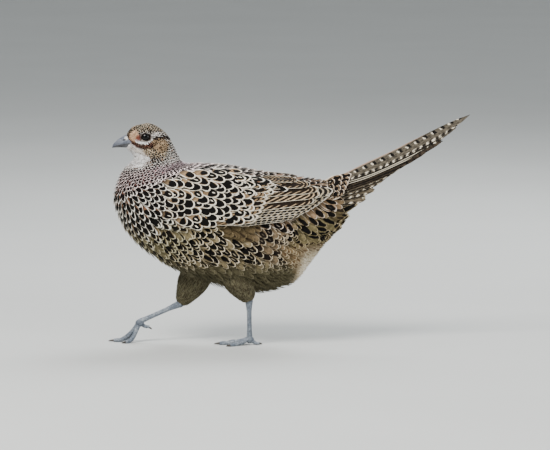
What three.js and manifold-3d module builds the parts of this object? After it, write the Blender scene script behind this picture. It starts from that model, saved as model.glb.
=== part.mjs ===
// A hen common pheasant at life size, walking, with its neck drawn in and its tail raised.
// Millimetres, +Z up. The bird faces -X, so its left side is on -Y. It stands on Z = 0.
import * as THREE from 'three';
import { ParametricGeometry } from 'three/addons/geometries/ParametricGeometry.js';
import { mergeVertices } from 'three/addons/utils/BufferGeometryUtils.js';
import Module from 'manifold-3d';

const wasm = await Module();
wasm.setup();

// Driving dimensions
const seam = 0.3; // gap between neighbouring pieces
const tailTip = [240.6, 313.5]; // x, z of the tip of the longest tail feathers
const tailRoot = [38, 214]; // x, z where the tail feathers meet in the rump
// x, distance from the middle plane and z of the hip, the hock and the knuckle of the toes
const legs = {
  left: { hip: [-80, 29, 112], hock: [-56, 20, 62], knuckle: [-55.5, 8, 9] },
  right: { hip: [-116, 31, 112], hock: [-149, 25, 52], knuckle: [-205, 18, 28] },
};
const sides = [['left', -1], ['right', 1]];
const eyeRadius = { along: 6.3, across: 4.6, up: 5.4 };
const eyeCentre = [-194.9, 12.0, 282.4]; // x, distance from the middle plane, z
const lidOpening = { along: 6.6, up: 5.5 }; // half length and half height of the lids' rim
const headEnd = 6.5; // station where the head meets the neck
const neckEnd = 9.6; // station where the neck meets the torso

// The body is one smooth form. Each station is a plane through the bird from its back to its
// underside: back x, back z, underside x, underside z, half width, squareness of its section.
const stations = [
  [-221.8, 276.4, -221.8, 275.6, 0.8, 2.0],
  [-220.5, 286.0, -221.2, 267.0, 6.8, 2.0],
  [-214.5, 293.7, -217.0, 261.6, 10.8, 2.1],
  [-204.0, 298.0, -213.6, 258.6, 13.6, 2.1],
  [-190.0, 299.6, -212.0, 255.4, 15.8, 2.1],
  [-175.5, 292.8, -211.6, 252.8, 17.0, 2.1],
  [-164.0, 281.0, -213.3, 250.0, 18.6, 2.1],
  [-156.2, 266.5, -217.5, 245.8, 21.6, 2.0],
  [-150.5, 254.5, -224.0, 240.0, 26.0, 2.0],
  [-145.0, 247.4, -231.0, 229.5, 32.5, 2.0],
  [-138.5, 246.0, -237.0, 215.0, 40.0, 2.0],
  [-131.0, 246.0, -239.8, 199.0, 46.5, 2.1],
  [-120.0, 245.8, -234.8, 177.8, 52.0, 2.1],
  [-105.0, 245.0, -220.3, 150.3, 56.0, 2.2],
  [-86.0, 243.6, -190.0, 121.5, 58.5, 2.2],
  [-64.0, 240.0, -146.0, 96.5, 59.5, 2.2],
  [-40.0, 235.7, -95.0, 77.5, 58.5, 2.2],
  [-16.0, 232.0, -42.0, 69.8, 54.0, 2.2],
  [8.0, 228.7, 2.0, 83.0, 46.5, 2.1],
  [30.0, 226.0, 26.0, 112.0, 38.0, 2.1],
  [46.0, 222.0, 48.0, 140.0, 29.5, 2.0],
  [60.0, 216.0, 68.0, 161.0, 21.5, 2.0],
  [73.0, 208.0, 80.0, 181.0, 13.5, 2.0],
  [83.0, 200.0, 83.5, 196.0, 2.0, 2.0],
];
const vector = (x, y, z) => new THREE.Vector3(x, y, z);
const backLine = new THREE.CatmullRomCurve3(
  stations.map((row) => vector(row[0], row[4], row[1])), false, 'catmullrom', 0.5);
const underLine = new THREE.CatmullRomCurve3(
  stations.map((row) => vector(row[2], row[5], row[3])), false, 'catmullrom', 0.5);
const station = (number) => number / (stations.length - 1);

// A point of the body's surface: s runs from the face to the end of the under tail, and the
// angle from the back over the left side to the underside and up the right side.
function bodyPoint(s, angle, target = vector(0, 0, 0)) {
  const back = backLine.getPoint(s);
  const under = underLine.getPoint(s);
  const power = 2 / under.y;
  const up = Math.sign(Math.cos(angle)) * Math.abs(Math.cos(angle)) ** power;
  const out = Math.sign(Math.sin(angle)) * Math.abs(Math.sin(angle)) ** power;
  return target.set(
    (back.x + under.x) / 2 + ((back.x - under.x) / 2) * up,
    -back.y * out,
    (back.z + under.z) / 2 + ((back.z - under.z) / 2) * up);
}

function bodyNormal(s, angle) {
  const step = 0.002;
  const along = bodyPoint(Math.min(s + step, 1), angle).sub(bodyPoint(s - step, angle));
  const round = bodyPoint(s, angle + step).sub(bodyPoint(s, angle - step));
  return round.cross(along).normalize();
}

// The place on the bird's flank that shows at x, z from the side, as station and angle.
function flankPlace(x, z) {
  let low = station(9);
  let high = 1;
  for (let halving = 0; halving < 30; halving += 1) {
    const middle = (low + high) / 2;
    const back = backLine.getPoint(middle);
    const under = underLine.getPoint(middle);
    const turn = (under.x - back.x) * (z - back.z) - (under.z - back.z) * (x - back.x);
    if (turn > 0) low = middle;
    else high = middle;
  }
  const back = backLine.getPoint(low);
  const under = underLine.getPoint(low);
  const span = vector(back.x - under.x, 0, back.z - under.z).multiplyScalar(0.5);
  const from = vector(x - (back.x + under.x) / 2, 0, z - (back.z + under.z) / 2);
  const up = THREE.MathUtils.clamp(from.dot(span) / span.lengthSq(), -0.995, 0.995);
  const cosine = Math.sign(up) * Math.abs(up) ** (under.y / 2);
  return [low, Math.acos(cosine)];
}

// The point on the left flank at x, z, lifted off the body along its normal.
function flank(x, z, lift = 0) {
  const [s, angle] = flankPlace(x, z);
  return bodyPoint(s, angle).addScaledVector(bodyNormal(s, angle), lift);
}

// The way out of each corner of a closed mesh, long enough to move all its faces out by 1.
function outward(at, corners, count) {
  const sums = Array.from({ length: count }, () => vector(0, 0, 0));
  const faceNormals = Array.from({ length: count }, () => []);
  for (let first = 0; first < corners.length; first += 3) {
    const face = corners.slice(first, first + 3);
    const [a, b, c] = face.map(at);
    const normal = b.clone().sub(a).cross(c.clone().sub(a)).normalize();
    face.forEach((corner, order) => {
      const here = at(corner);
      const next = at(face[(order + 1) % 3]).sub(here);
      const last = at(face[(order + 2) % 3]).sub(here);
      sums[corner].addScaledVector(normal, next.angleTo(last));
      faceNormals[corner].push(normal);
    });
  }
  return sums.map((sum, corner) => {
    const way = sum.normalize();
    const least = Math.min(...faceNormals[corner].map((normal) => normal.dot(way)));
    return way.multiplyScalar(1 / Math.max(least, 0.5));
  });
}

// Makes one closed solid of a surface, with its faces moved out by growth: shared corners are
// merged, flat triangles dropped and the faces turned outwards.
function solid(geometry, growth = 0) {
  const bare = geometry.clone();
  bare.deleteAttribute('normal');
  bare.deleteAttribute('uv');
  const merged = mergeVertices(bare, 1e-4);
  const place = merged.attributes.position;
  const indices = merged.index.array;
  const at = (corner) => vector(place.getX(corner), place.getY(corner), place.getZ(corner));
  const corners = [];
  let volume = 0;
  for (let first = 0; first < indices.length; first += 3) {
    const [a, b, c] = indices.slice(first, first + 3);
    if (a !== b && b !== c && c !== a) {
      corners.push(a, b, c);
      volume += at(a).cross(at(b)).dot(at(c));
    }
  }
  if (volume < 0) corners.reverse();
  const vertProperties = new Float32Array(place.array);
  if (growth > 0) {
    outward(at, corners, place.count).forEach((way, corner) => {
      at(corner).addScaledVector(way, growth).toArray(vertProperties, 3 * corner);
    });
  }
  const triVerts = new Uint32Array(corners);
  return new wasm.Manifold(new wasm.Mesh({ numProp: 3, vertProperties, triVerts }));
}

// A closed surface around a line: ring(v, angle) gives its points, and its ends, at v = 0 and
// v = 1, close in one point each.
function around(ring, sides, rows) {
  return new ParametricGeometry((u, v, target) => {
    if (v === 0 || v === 1) target.copy(ring(v, 0)).lerp(ring(v, Math.PI), 0.5);
    else target.copy(ring(v, u === 1 ? 0 : 2 * Math.PI * u));
  }, sides, rows);
}

// A thin plate between two faces: place(u, v, side) gives its points, side 1 outside, -1 inside.
// Both faces are split into triangles alike.
function plate(place, columns, rows) {
  const points = [];
  const faces = [];
  for (const side of [1, -1]) {
    for (let row = 0; row <= rows; row += 1) {
      for (let column = 0; column <= columns; column += 1) {
        points.push(...place(column / columns, row / rows, side).toArray());
      }
    }
  }
  const layer = (columns + 1) * (rows + 1);
  const corner = (column, row) => row * (columns + 1) + column;
  for (let row = 0; row < rows; row += 1) {
    for (let column = 0; column < columns; column += 1) {
      const [a, b] = [corner(column, row), corner(column + 1, row)];
      const [c, d] = [corner(column + 1, row + 1), corner(column, row + 1)];
      faces.push(a, b, c, a, c, d);
      faces.push(layer + a, layer + c, layer + b, layer + a, layer + d, layer + c);
    }
  }
  const rim = [];
  for (let column = 0; column < columns; column += 1) rim.push(corner(column, 0));
  for (let row = 0; row < rows; row += 1) rim.push(corner(columns, row));
  for (let column = columns; column > 0; column -= 1) rim.push(corner(column, rows));
  for (let row = rows; row > 0; row -= 1) rim.push(corner(0, row));
  rim.forEach((a, order) => {
    const b = rim[(order + 1) % rim.length];
    faces.push(a, layer + a, b, b, layer + a, layer + b);
  });
  const geometry = new THREE.BufferGeometry();
  geometry.setAttribute('position', new THREE.Float32BufferAttribute(points, 3));
  geometry.setIndex(faces);
  return geometry;
}

const smoothstep = THREE.MathUtils.smoothstep;
const lerp = THREE.MathUtils.lerp;

// The whole body and its two thin cuts
const bodyGeometry = around((v, angle) => bodyPoint(v, angle), 24, 2 * (stations.length - 1));
const whole = solid(bodyGeometry);
const wholeGrown = solid(bodyGeometry, seam);

function cutPlane(s) {
  const back = backLine.getPoint(s);
  const under = underLine.getPoint(s);
  const normal = vector(back.z - under.z, 0, under.x - back.x).normalize();
  return [normal.toArray(), normal.dot(back)];
}

// Keeps the part of a solid between two stations, half a seam away from each.
function between(body, first, last) {
  let piece = body;
  if (first !== null) {
    const [normal, offset] = cutPlane(station(first));
    piece = piece.trimByPlane(normal, offset + seam / 2);
  }
  if (last !== null) {
    const [normal, offset] = cutPlane(station(last));
    piece = piece.trimByPlane(normal.map((value) => -value), seam / 2 - offset);
  }
  return piece;
}

// Bill: one horn sheath, parted along the line of the mouth.
const billRows = [
  [-240.8, 266.9, -240.8, 266.3, 0.3],
  [-239.4, 271.2, -239.7, 266.8, 1.8],
  [-236.6, 274.6, -236.9, 267.2, 3.1],
  [-231.5, 278.8, -231.5, 267.3, 4.4],
  [-225.5, 282.6, -225.5, 267.2, 5.4],
  [-219.5, 285.0, -219.5, 267.0, 6.0],
  [-213.0, 283.0, -213.0, 268.5, 5.6],
  [-212.6, 276.0, -212.6, 275.0, 0.4],
];
const culmen = new THREE.CatmullRomCurve3(
  billRows.map((row) => vector(row[0], row[4], row[1])), false, 'catmullrom', 0.5);
const billFloor = new THREE.CatmullRomCurve3(
  billRows.map((row) => vector(row[2], row[4], row[3])), false, 'catmullrom', 0.5);
const billGeometry = around((v, angle) => {
  const ridge = culmen.getPoint(v);
  const floor = billFloor.getPoint(v);
  const up = Math.cos(angle);
  return vector(
    (ridge.x + floor.x) / 2 + ((ridge.x - floor.x) / 2) * up,
    -ridge.y * Math.sin(angle),
    (ridge.z + floor.z) / 2 + ((ridge.z - floor.z) / 2) * up);
}, 16, 14);
const mouth = [[-246, 261.5], [-239.6, 267.3], [-236, 269.9], [-231, 271.4], [-224, 271.9],
  [-211.5, 271.4]];

// A thin curved wall along the line of the mouth.
function mouthWall(height) {
  const line = new THREE.SplineCurve(mouth.map(([x, z]) => new THREE.Vector2(x, z)));
  const places = line.getPoints(14);
  return solid(plate((u, v, side) => {
    const at = places[Math.round(v * 14)];
    return vector(at.x, lerp(-25, 25, u), at.y + (side * height) / 2);
  }, 1, 14));
}

const pieces = [];
function addPiece(name, body, colour, roughness) {
  const parts = body.decompose().sort((a, b) => b.volume() - a.volume());
  const mesh = parts[0].getMesh();
  const geometry = new THREE.BufferGeometry();
  geometry.setAttribute('position', new THREE.BufferAttribute(mesh.vertProperties, 3));
  geometry.setIndex(new THREE.BufferAttribute(mesh.triVerts, 1));
  geometry.computeVertexNormals();
  const material = new THREE.MeshStandardMaterial({ color: colour, roughness, metalness: 0 });
  const piece = new THREE.Mesh(geometry, material);
  piece.name = name;
  pieces.push(piece);
}

function ball(centre, radii, segments = 14) {
  const geometry = new THREE.SphereGeometry(1, segments, segments / 2 + 2);
  geometry.rotateX(Math.PI / 2);
  geometry.scale(...radii);
  geometry.translate(...centre);
  return solid(geometry);
}

// A soft swelling covers each nostril from above, and the nostril is a slit below it.
let bill = solid(billGeometry);
let billSocket = solid(billGeometry, seam);
for (const [, side] of sides) {
  const swelling = [-222.8, side * 4.6, 279.8];
  const radii = [3.4, 1.7, 2.0];
  bill = bill.add(ball(swelling, radii, 8))
    .subtract(ball([-225.4, side * 5.7, 277.6], [2.2, 1.4, 0.6], 8));
  billSocket = billSocket.add(ball(swelling, radii.map((radius) => radius + seam), 8));
}
const [largerHalf, smallerHalf] = bill.subtract(mouthWall(seam)).decompose()
  .sort((a, b) => b.volume() - a.volume());
const upperFirst = largerHalf.boundingBox().max[2] > smallerHalf.boundingBox().max[2];
addPiece('bill_upper', upperFirst ? largerHalf : smallerHalf, 0x8d969c, 0.4);
addPiece('bill_lower', upperFirst ? smallerHalf : largerHalf, 0x5f676e, 0.45);

// Eyes, each in a shallow dish of the head with a rim of lids around it

let head = between(whole, null, headEnd);
const { along, across, up: upward } = eyeRadius;
const lidRadius = 0.12; // as a share of the rim's size
const lidDepth = 2.0; // of the rim's middle, out from the middle of the eye
for (const [name, side] of sides) {
  const place = (out) => [eyeCentre[0], side * (eyeCentre[1] + out), eyeCentre[2]];
  const dish = ball(place(5.4), [lidOpening.along + 2.4, 4.2, lidOpening.up + 2], 12);
  const rim = new THREE.TorusGeometry(1, lidRadius, 4, 14);
  rim.rotateX(Math.PI / 2);
  rim.scale(lidOpening.along, lidOpening.along, lidOpening.up);
  rim.translate(...place(lidDepth));
  head = head.subtract(dish).add(solid(rim))
    .subtract(ball(place(0), [along + seam, across + seam, upward + seam]));
  addPiece(`eye_${name}`, ball(place(0), [along, across, upward]), 0x1d120c, 0.1);
}
head = head.subtract(billSocket).subtract(mouthWall(seam));
addPiece('head', head, 0x9b7f5f, 0.9);
addPiece('neck', between(whole, headEnd, neckEnd), 0xa08573, 0.9);

// A round limb along a line of points, with its radius at each.
function tube(points, radii, facets, rows, flatness = 1) {
  const line = new THREE.CatmullRomCurve3(points, false, 'catmullrom', 0.5);
  const size = new THREE.CatmullRomCurve3(
    radii.map((radius) => vector(radius, 0, 0)), false, 'catmullrom', 0.5);
  return around((v, angle) => {
    const tangent = line.getTangent(v);
    const sideways = vector(-tangent.z, 0, tangent.x).cross(tangent).normalize();
    const upwards = tangent.clone().cross(sideways);
    const radius = size.getPoint(v).x;
    return line.getPoint(v).addScaledVector(sideways, radius * flatness * Math.cos(angle))
      .addScaledVector(upwards, radius * Math.sin(angle));
  }, facets, rows);
}

// One feather vane along a line: its outline gives half widths along it as shares of the
// largest, its face turns to faceOut(t), and camber bends it down towards both edges.
function vane({ line, faceOut, halfWidth, outline, thick = 0.6, camber = 0.006 }, growth = 0) {
  return solid(plate((u, v, side) => {
    const [t, share] = outline[Math.round(v * (outline.length - 1))];
    const tangent = line.getTangent(t);
    const normal = faceOut(t);
    normal.addScaledVector(tangent, -normal.dot(tangent)).normalize();
    const sideways = tangent.clone().cross(normal);
    const offset = (2 * u - 1) * halfWidth * share;
    return line.getPoint(t).addScaledVector(sideways, offset)
      .addScaledVector(normal, (side * thick) / 2 - camber * offset * offset);
  }, 2, outline.length - 1), growth);
}
const pointedVane = [[0, 0.4], [0.3, 0.86], [0.6, 1], [0.86, 0.62], [1, 0.07]];
const quillVane = [[0, 0.5], [0.35, 1], [0.84, 0.92], [1, 0.3]];
const covertVane = [[0, 0.6], [0.45, 1], [0.84, 0.82], [1, 0.22]];
const curve = (points) => new THREE.CatmullRomCurve3(points, false, 'catmullrom', 0.5);
const sideLine = (places) => new THREE.SplineCurve(
  places.map(([x, z]) => new THREE.Vector2(x, z)));

// Tail: graduated feathers folded into a steep roof. A point of a roof side is given by its
// run from the root, its distance down the side from the ridge, and its depth under the top.
const ridgeStart = vector(tailRoot[0], 0, tailRoot[1] + 3);
const ridgeWay = vector(tailTip[0], 0, tailTip[1]).sub(ridgeStart);
const ridgeLength = ridgeWay.length();
ridgeWay.normalize();
const ridgeUp = vector(-ridgeWay.z, 0, ridgeWay.x);
const roofPitch = THREE.MathUtils.degToRad(53);
const tailPairs = 8;
const layerStep = 1.15;
const tailTips = sideLine([tailTip, [205, 277], [163, 251], [127, 226], [101, 199]]);
const roofOut = (side) => ridgeUp.clone().multiplyScalar(Math.cos(roofPitch))
  .add(vector(0, side * Math.sin(roofPitch), 0));
const roofDown = (side) => ridgeUp.clone().multiplyScalar(-Math.sin(roofPitch))
  .add(vector(0, side * Math.cos(roofPitch), 0));
const roofPoint = (side, run, down, depth) => ridgeStart.clone().addScaledVector(ridgeWay, run)
  .addScaledVector(roofDown(side), down).addScaledVector(roofOut(side), -depth);

function tailFeather(side, pair) {
  const depth = layerStep * pair + (side > 0 ? 0.2 * layerStep : 0);
  const tip = tailTips.getPoint(pair / (tailPairs - 1));
  const fromRoot = vector(tip.x, 0, tip.y).sub(ridgeStart);
  const run = fromRoot.dot(ridgeWay);
  const under = -fromRoot.dot(ridgeUp);
  const down = Math.max((under - depth * Math.cos(roofPitch)) / Math.sin(roofPitch), 2.5);
  const start = 6.5 + 2.2 * pair;
  const half = pair < 4 ? 10.8 : 10.8 - 0.4 * (pair - 3);
  const bow = Math.max(lerp(start, down, 0.5), half + 1.2 + 1.6 * pair);
  const line = curve([roofPoint(side, 0, start, depth),
    roofPoint(side, run * 0.5, bow, depth), roofPoint(side, run, down, depth)]);
  return { line, faceOut: () => roofOut(side), halfWidth: half, outline: pointedVane };
}

const upperCoverts = [[72, 7.5, 8], [56, 14, 8], [43, 20, 7.5], [32, 25.5, 7]];
function upperCovert(side, [length, down, halfWidth]) {
  const lift = side > 0 ? 1.0 : 1.5;
  const line = curve([roofPoint(side, -2, down * 0.8, 3), roofPoint(side, length * 0.35, down, -lift),
    roofPoint(side, length * 0.7, down, -lift - 0.3), roofPoint(side, length, down, -lift)]);
  return { line, faceOut: () => roofOut(side), halfWidth, outline: covertVane };
}

// The rump's end, in which all tail feathers root: x, z and half height of its middle line.
const rumpEnd = [[33, 211, 5], [40, 211, 11], [54, 211, 15], [68, 212, 15.5], [84, 218, 12.5],
  [98, 228, 7.5], [106, 234, 3]];
const rumpCore = tube(rumpEnd.map(([x, z]) => vector(x, 0, z)), rumpEnd.map((row) => row[2]),
  14, 10, 0.72);
const underCoverts = [[113, 5, 209, 6], [104, 9, 203, 6], [97, 12.5, 196, 5.5]];

function underCovert(side, [x, out, z, halfWidth]) {
  const root = vector(58, side * (out - 3), z);
  const tip = vector(x, side * out, z);
  const faceOut = () => vector(0.1, side * (out / 14), -0.8);
  return { line: curve([root, root.clone().lerp(tip, 0.5), tip]), faceOut, halfWidth,
    outline: covertVane };
}

const torsoGrown = between(wholeGrown, neckEnd, null);
let tail = solid(rumpCore);
for (const [, side] of sides) {
  const vanes = [];
  for (let pair = 0; pair < tailPairs; pair += 1) vanes.push(tailFeather(side, pair));
  for (const covert of upperCoverts) vanes.push(upperCovert(side, covert));
  for (const covert of underCoverts) vanes.push(underCovert(side, covert));
  for (const shape of vanes) tail = tail.add(vane(shape).subtract(torsoGrown));
}
const rumpSocket = solid(rumpCore, seam);

// Folded wings: a core over the arm and hand, quills that leave it in one shingled stack from
// the lowest primary to the topmost tertial, and a tier of great coverts over their roots.
const wingLower = sideLine([[-166, 194], [-150, 172], [-120, 162], [-90, 165], [-62, 170],
  [-45, 176]]);
const wingUpper = sideLine([[-166, 200], [-150, 219], [-120, 232], [-90, 234], [-62, 231],
  [-45, 224]]);
const quills = 11;
const quillRoots = sideLine([[-94, 171], [-84, 198], [-72, 225]]);
const quillTips = sideLine([[4, 180], [28, 191], [47, 203], [51, 209], [50, 214], [46, 218],
  [36, 222]]);
const coverts = 7;
const covertRoots = sideLine([[-132, 175], [-124, 198], [-110, 222]]);
const covertTips = sideLine([[-66, 172], [-52, 196], [-40, 220]]);

// A feather on the flank between two places seen from the side, lifted off the body by lifts at
// even steps along it, with its lower edge tilted out over the next feather below.
function flankFeather(from, to, lifts, tilt, halfWidth, outline) {
  const places = lifts.map((lift, index) => {
    const share = index / (lifts.length - 1);
    return [lerp(from.x, to.x, share), lerp(from.y, to.y, share), lift];
  });
  const line = curve(places.map(([x, z, lift]) => flank(x, z, lift)));
  const faceOut = (t) => {
    const [s, angle] = flankPlace(lerp(from.x, to.x, t), lerp(from.y, to.y, t));
    const out = bodyNormal(s, angle);
    const upSlope = bodyPoint(s, angle - 0.02).sub(bodyPoint(s, angle)).normalize();
    return out.addScaledVector(upSlope, tilt).normalize();
  };
  return { line, faceOut, halfWidth, outline };
}

function makeWing() {
  const core = plate((u, v, face) => {
    const at = wingLower.getPoint(v).lerp(wingUpper.getPoint(v), u);
    const edge = smoothstep(Math.min(u, 1 - u, v, 1 - v) * 5, 0, 1);
    return flank(at.x, at.y, face > 0 ? lerp(0.9, 3.6, edge) : -2);
  }, 7, 9);
  let wing = solid(core);
  for (let order = 0; order < quills; order += 1) {
    const share = order / (quills - 1);
    const half = lerp(7.5, 11, share ** 2);
    const tilt = 0.22;
    wing = wing.add(vane(flankFeather(quillRoots.getPoint(share), quillTips.getPoint(share),
      [1, 1.8 + tilt * half * 0.5, 0.9 + tilt * half, 0.9 + tilt * half], tilt, half, quillVane)));
  }
  for (let order = 0; order < coverts; order += 1) {
    const share = order / (coverts - 1);
    wing = wing.add(vane(flankFeather(covertRoots.getPoint(share), covertTips.getPoint(share),
      [1, 3.9, 5.6, 6], 0.12, 8, covertVane)));
  }
  return wing;
}
const leftWing = makeWing();
for (const [name, side] of sides) {
  const wing = side < 0 ? leftWing : leftWing.mirror([0, 1, 0]);
  addPiece(`wing_${name}`, wing.subtract(torsoGrown).subtract(rumpSocket), 0x8a6a48, 0.85);
}
addPiece('tail', tail, 0x8f7b5e, 0.85);

// Legs: feathered thighs, bare tarsi and toes. The left leg stands back, the right one steps.
// A toe leaves its knuckle at a height and curves down until its pads rest on the floor.
const toes = [
  { number: 1, turn: 170, length: 13, thick: 2.6, claw: 6, rise: 3 },
  { number: 2, turn: -38, length: 31, thick: 3.1, claw: 8, rise: 0 },
  { number: 3, turn: 2, length: 40, thick: 3.4, claw: 9, rise: 0 },
  { number: 4, turn: 36, length: 32, thick: 3.0, claw: 8, rise: 0 },
];
const toeFall = [1, 0.56, 0.21, 0.03, 0, 0];
const toeRun = [0, 0.25, 0.5, 0.74, 0.87, 1];

function addFoot(name, side, knuckle, tarsusGrown) {
  let foot = ball([knuckle.x, knuckle.y, Math.max(knuckle.z - 2, 5)], [6.2, 5.6, 5.4], 8);
  const claws = [];
  for (const toe of toes) {
    const heading = THREE.MathUtils.degToRad(toe.turn) * side;
    const forward = vector(-Math.cos(heading), Math.sin(heading), 0);
    const rest = toe.thick * 0.72;
    const start = knuckle.clone().setZ(knuckle.z - 1 + toe.rise * 0.5);
    const hangs = toe.number === 1 && knuckle.z > 15;
    const drop = hangs ? toe.length * 0.6 : start.z - rest - (toe.number === 1 ? 0.6 : 0);
    const reach = Math.sqrt(Math.max(toe.length ** 2 - (0.85 * drop) ** 2, 30));
    const line = toeRun.map((run, index) => start.clone()
      .addScaledVector(forward, run * reach).setZ(start.z - drop * (1 - toeFall[index])));
    const radii = [1.15, 1, 1.08, 0.9, 0.98, 0.7].map((part) => part * toe.thick);
    foot = foot.add(solid(tube(line, radii, 7, 8)));
    const end = line[line.length - 1];
    const slope = hangs ? -0.5 : 0;
    const clawLine = [-2.5, 0, 0.35 * toe.claw, 0.7 * toe.claw, toe.claw].map((run, index) =>
      end.clone().addScaledVector(forward, run)
        .add(vector(0, 0, run * slope - [0, 0, 0, 0.3, 0.9][index])));
    const clawGeometry = tube(clawLine, [1.2, 1.7, 1.4, 1.0, 0.5], 6, 6);
    claws.push([`claw_${name}_${toe.number}`, solid(clawGeometry), solid(clawGeometry, seam)]);
  }
  for (const [, , socket] of claws) foot = foot.subtract(socket);
  foot = foot.subtract(tarsusGrown).trimByPlane([0, 0, 1], 0);
  addPiece(`foot_${name}`, foot, 0x6d7478, 0.6);
  for (const [title, claw] of claws) {
    addPiece(title, claw.trimByPlane([0, 0, 1], 0), 0x2b2622, 0.35);
  }
}

for (const [name, side] of sides) {
  const leg = legs[name];
  const [hip, hock, knuckle] = [leg.hip, leg.hock, leg.knuckle].map(
    ([x, y, z]) => vector(x, side * y, z));
  const thighLine = [hip.clone().lerp(hock, -0.15), hip, hip.clone().lerp(hock, 0.5),
    hock.clone().lerp(hip, 0.14), hock.clone().lerp(hip, -0.02)];
  const thigh = solid(tube(thighLine, [19, 25, 21.5, 12.5, 6.6], 14, 10));
  const tarsusLine = [0.1, 0, -0.08, -0.3, -0.75, -0.97].map(
    (part) => part > 0 ? hock.clone().lerp(hip, part) : hock.clone().lerp(knuckle, -part));
  const tarsusGeometry = tube(tarsusLine, [3, 4.8, 4.6, 3.2, 3.1, 3.9], 10, 12, 0.85);
  const tarsus = solid(tarsusGeometry);
  const tarsusGrown = solid(tarsusGeometry, seam);
  addPiece(`thigh_${name}`, thigh.subtract(torsoGrown).subtract(tarsusGrown), 0x8b7a63, 0.95);
  addPiece(`tarsus_${name}`, tarsus, 0x6d7880, 0.6);
  addFoot(name, side, knuckle, tarsusGrown);
}
addPiece('torso', between(whole, neckEnd, null).subtract(rumpSocket), 0x9a8468, 0.9);

const bird = new THREE.Group();
bird.add(...pieces);
const middle = new THREE.Box3().setFromObject(bird).getCenter(vector(0, 0, 0));
bird.position.set(-middle.x, -middle.y, 0);
export default bird;
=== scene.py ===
# %% [markdown]
# # A hen pheasant, feather by feather
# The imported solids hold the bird's size and place. This lesson dresses them: one skin under a
# coat of single feathers, finer wings and tail, a horn bill, moist eyes and scaled legs.
# Every feather is a thin closed blade of mesh, made in arrays, because a coat is thousands of
# small things that follow one rule.

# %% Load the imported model
import math

import bmesh
import bpy
import numpy as np
from mathutils.kdtree import KDTree
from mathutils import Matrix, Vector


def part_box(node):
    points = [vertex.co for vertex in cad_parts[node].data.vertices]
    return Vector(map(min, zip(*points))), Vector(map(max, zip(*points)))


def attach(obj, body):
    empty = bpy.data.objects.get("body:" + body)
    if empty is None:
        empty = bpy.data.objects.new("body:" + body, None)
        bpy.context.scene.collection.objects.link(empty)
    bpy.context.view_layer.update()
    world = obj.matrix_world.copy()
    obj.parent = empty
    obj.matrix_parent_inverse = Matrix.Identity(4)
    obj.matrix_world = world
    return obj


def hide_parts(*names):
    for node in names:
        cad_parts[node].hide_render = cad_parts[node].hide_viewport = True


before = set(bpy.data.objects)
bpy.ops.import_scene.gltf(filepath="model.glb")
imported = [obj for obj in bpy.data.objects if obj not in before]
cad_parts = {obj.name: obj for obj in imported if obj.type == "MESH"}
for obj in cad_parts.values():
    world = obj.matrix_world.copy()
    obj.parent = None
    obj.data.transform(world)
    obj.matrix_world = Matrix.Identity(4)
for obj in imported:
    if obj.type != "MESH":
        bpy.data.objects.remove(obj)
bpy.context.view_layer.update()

# %% [markdown]
# ## The bird's own measure
# Shapes are worked out in millimetres from the bird's drawing, where the bird faces -X and its
# left side is on -Y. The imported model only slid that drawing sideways, so the two eyes tell
# how far, and one function turns drawing millimetres into metres of the frame.

# %% From the drawing to the frame
MM = 0.001
EYE = np.array([-194.9, 12.0, 282.4])  # x, distance from the middle plane, z of an eye's centre
EYE_RADII = np.array([6.3, 4.6, 5.4])
FACE_SIDE = 6  # mm from the middle plane to where the sides of the face begin
eye_boxes = [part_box("eye_left"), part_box("eye_right")]
middle_x = sum(low.x + high.x for low, high in eye_boxes) / 4
middle_y = sum(low.y + high.y for low, high in eye_boxes) / 4
SLIDE = np.array([middle_x - EYE[0] * MM, middle_y, 0.0])
random = np.random.default_rng(52)


def to_frame(points):
    return np.asarray(points, float) * MM + SLIDE


def set_out(name, data):
    """A new object in the scene, at the origin."""
    made = bpy.data.objects.new(name, data)
    bpy.context.scene.collection.objects.link(made)
    return made


print("the drawing slides by", SLIDE)

# %% [markdown]
# ## Camera, floor and light
# The photograph is a long-lens view from the bird's left, a little above its back. One of its
# pixels is 1.35 mm at the bird. The floor is a wide bowl that curves up into a plain pale wall
# all round, so it looks the same from every side, and three soft boxes light the bird.

# %% Camera
PIXEL = 1.35 * MM
PHOTO_SIZE = (550, 450)
GROUND_ROW = 345
MIDDLE_COLUMN = 290.75
CAMERA_DISTANCE = 6.0
CAMERA_RISE = math.radians(6.5)

camera_data = bpy.data.cameras.new("long_lens")
camera_data.sensor_width = 36.0
camera_data.lens = camera_data.sensor_width * CAMERA_DISTANCE / (PHOTO_SIZE[0] * PIXEL)
camera_data.clip_end = 40  # metres
camera = set_out("long_lens", camera_data)
aim = SLIDE + np.array([
    (PHOTO_SIZE[0] / 2 - MIDDLE_COLUMN) * PIXEL, 0,
    (GROUND_ROW - PHOTO_SIZE[1] / 2) * PIXEL])
camera.location = aim + CAMERA_DISTANCE * np.array(
    [0, -math.cos(CAMERA_RISE), math.sin(CAMERA_RISE)])
camera.rotation_euler = (math.pi / 2 - CAMERA_RISE, 0, 0)
bpy.context.scene.camera = camera
print("lens:", round(camera_data.lens), "mm")

# %% [markdown]
# ## Shader sums as plain Python
# A feather's marks are sums over its own map, so a small class wraps a node's socket and lets
# Python's operators add the Math nodes. Every other node comes from one method.

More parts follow.
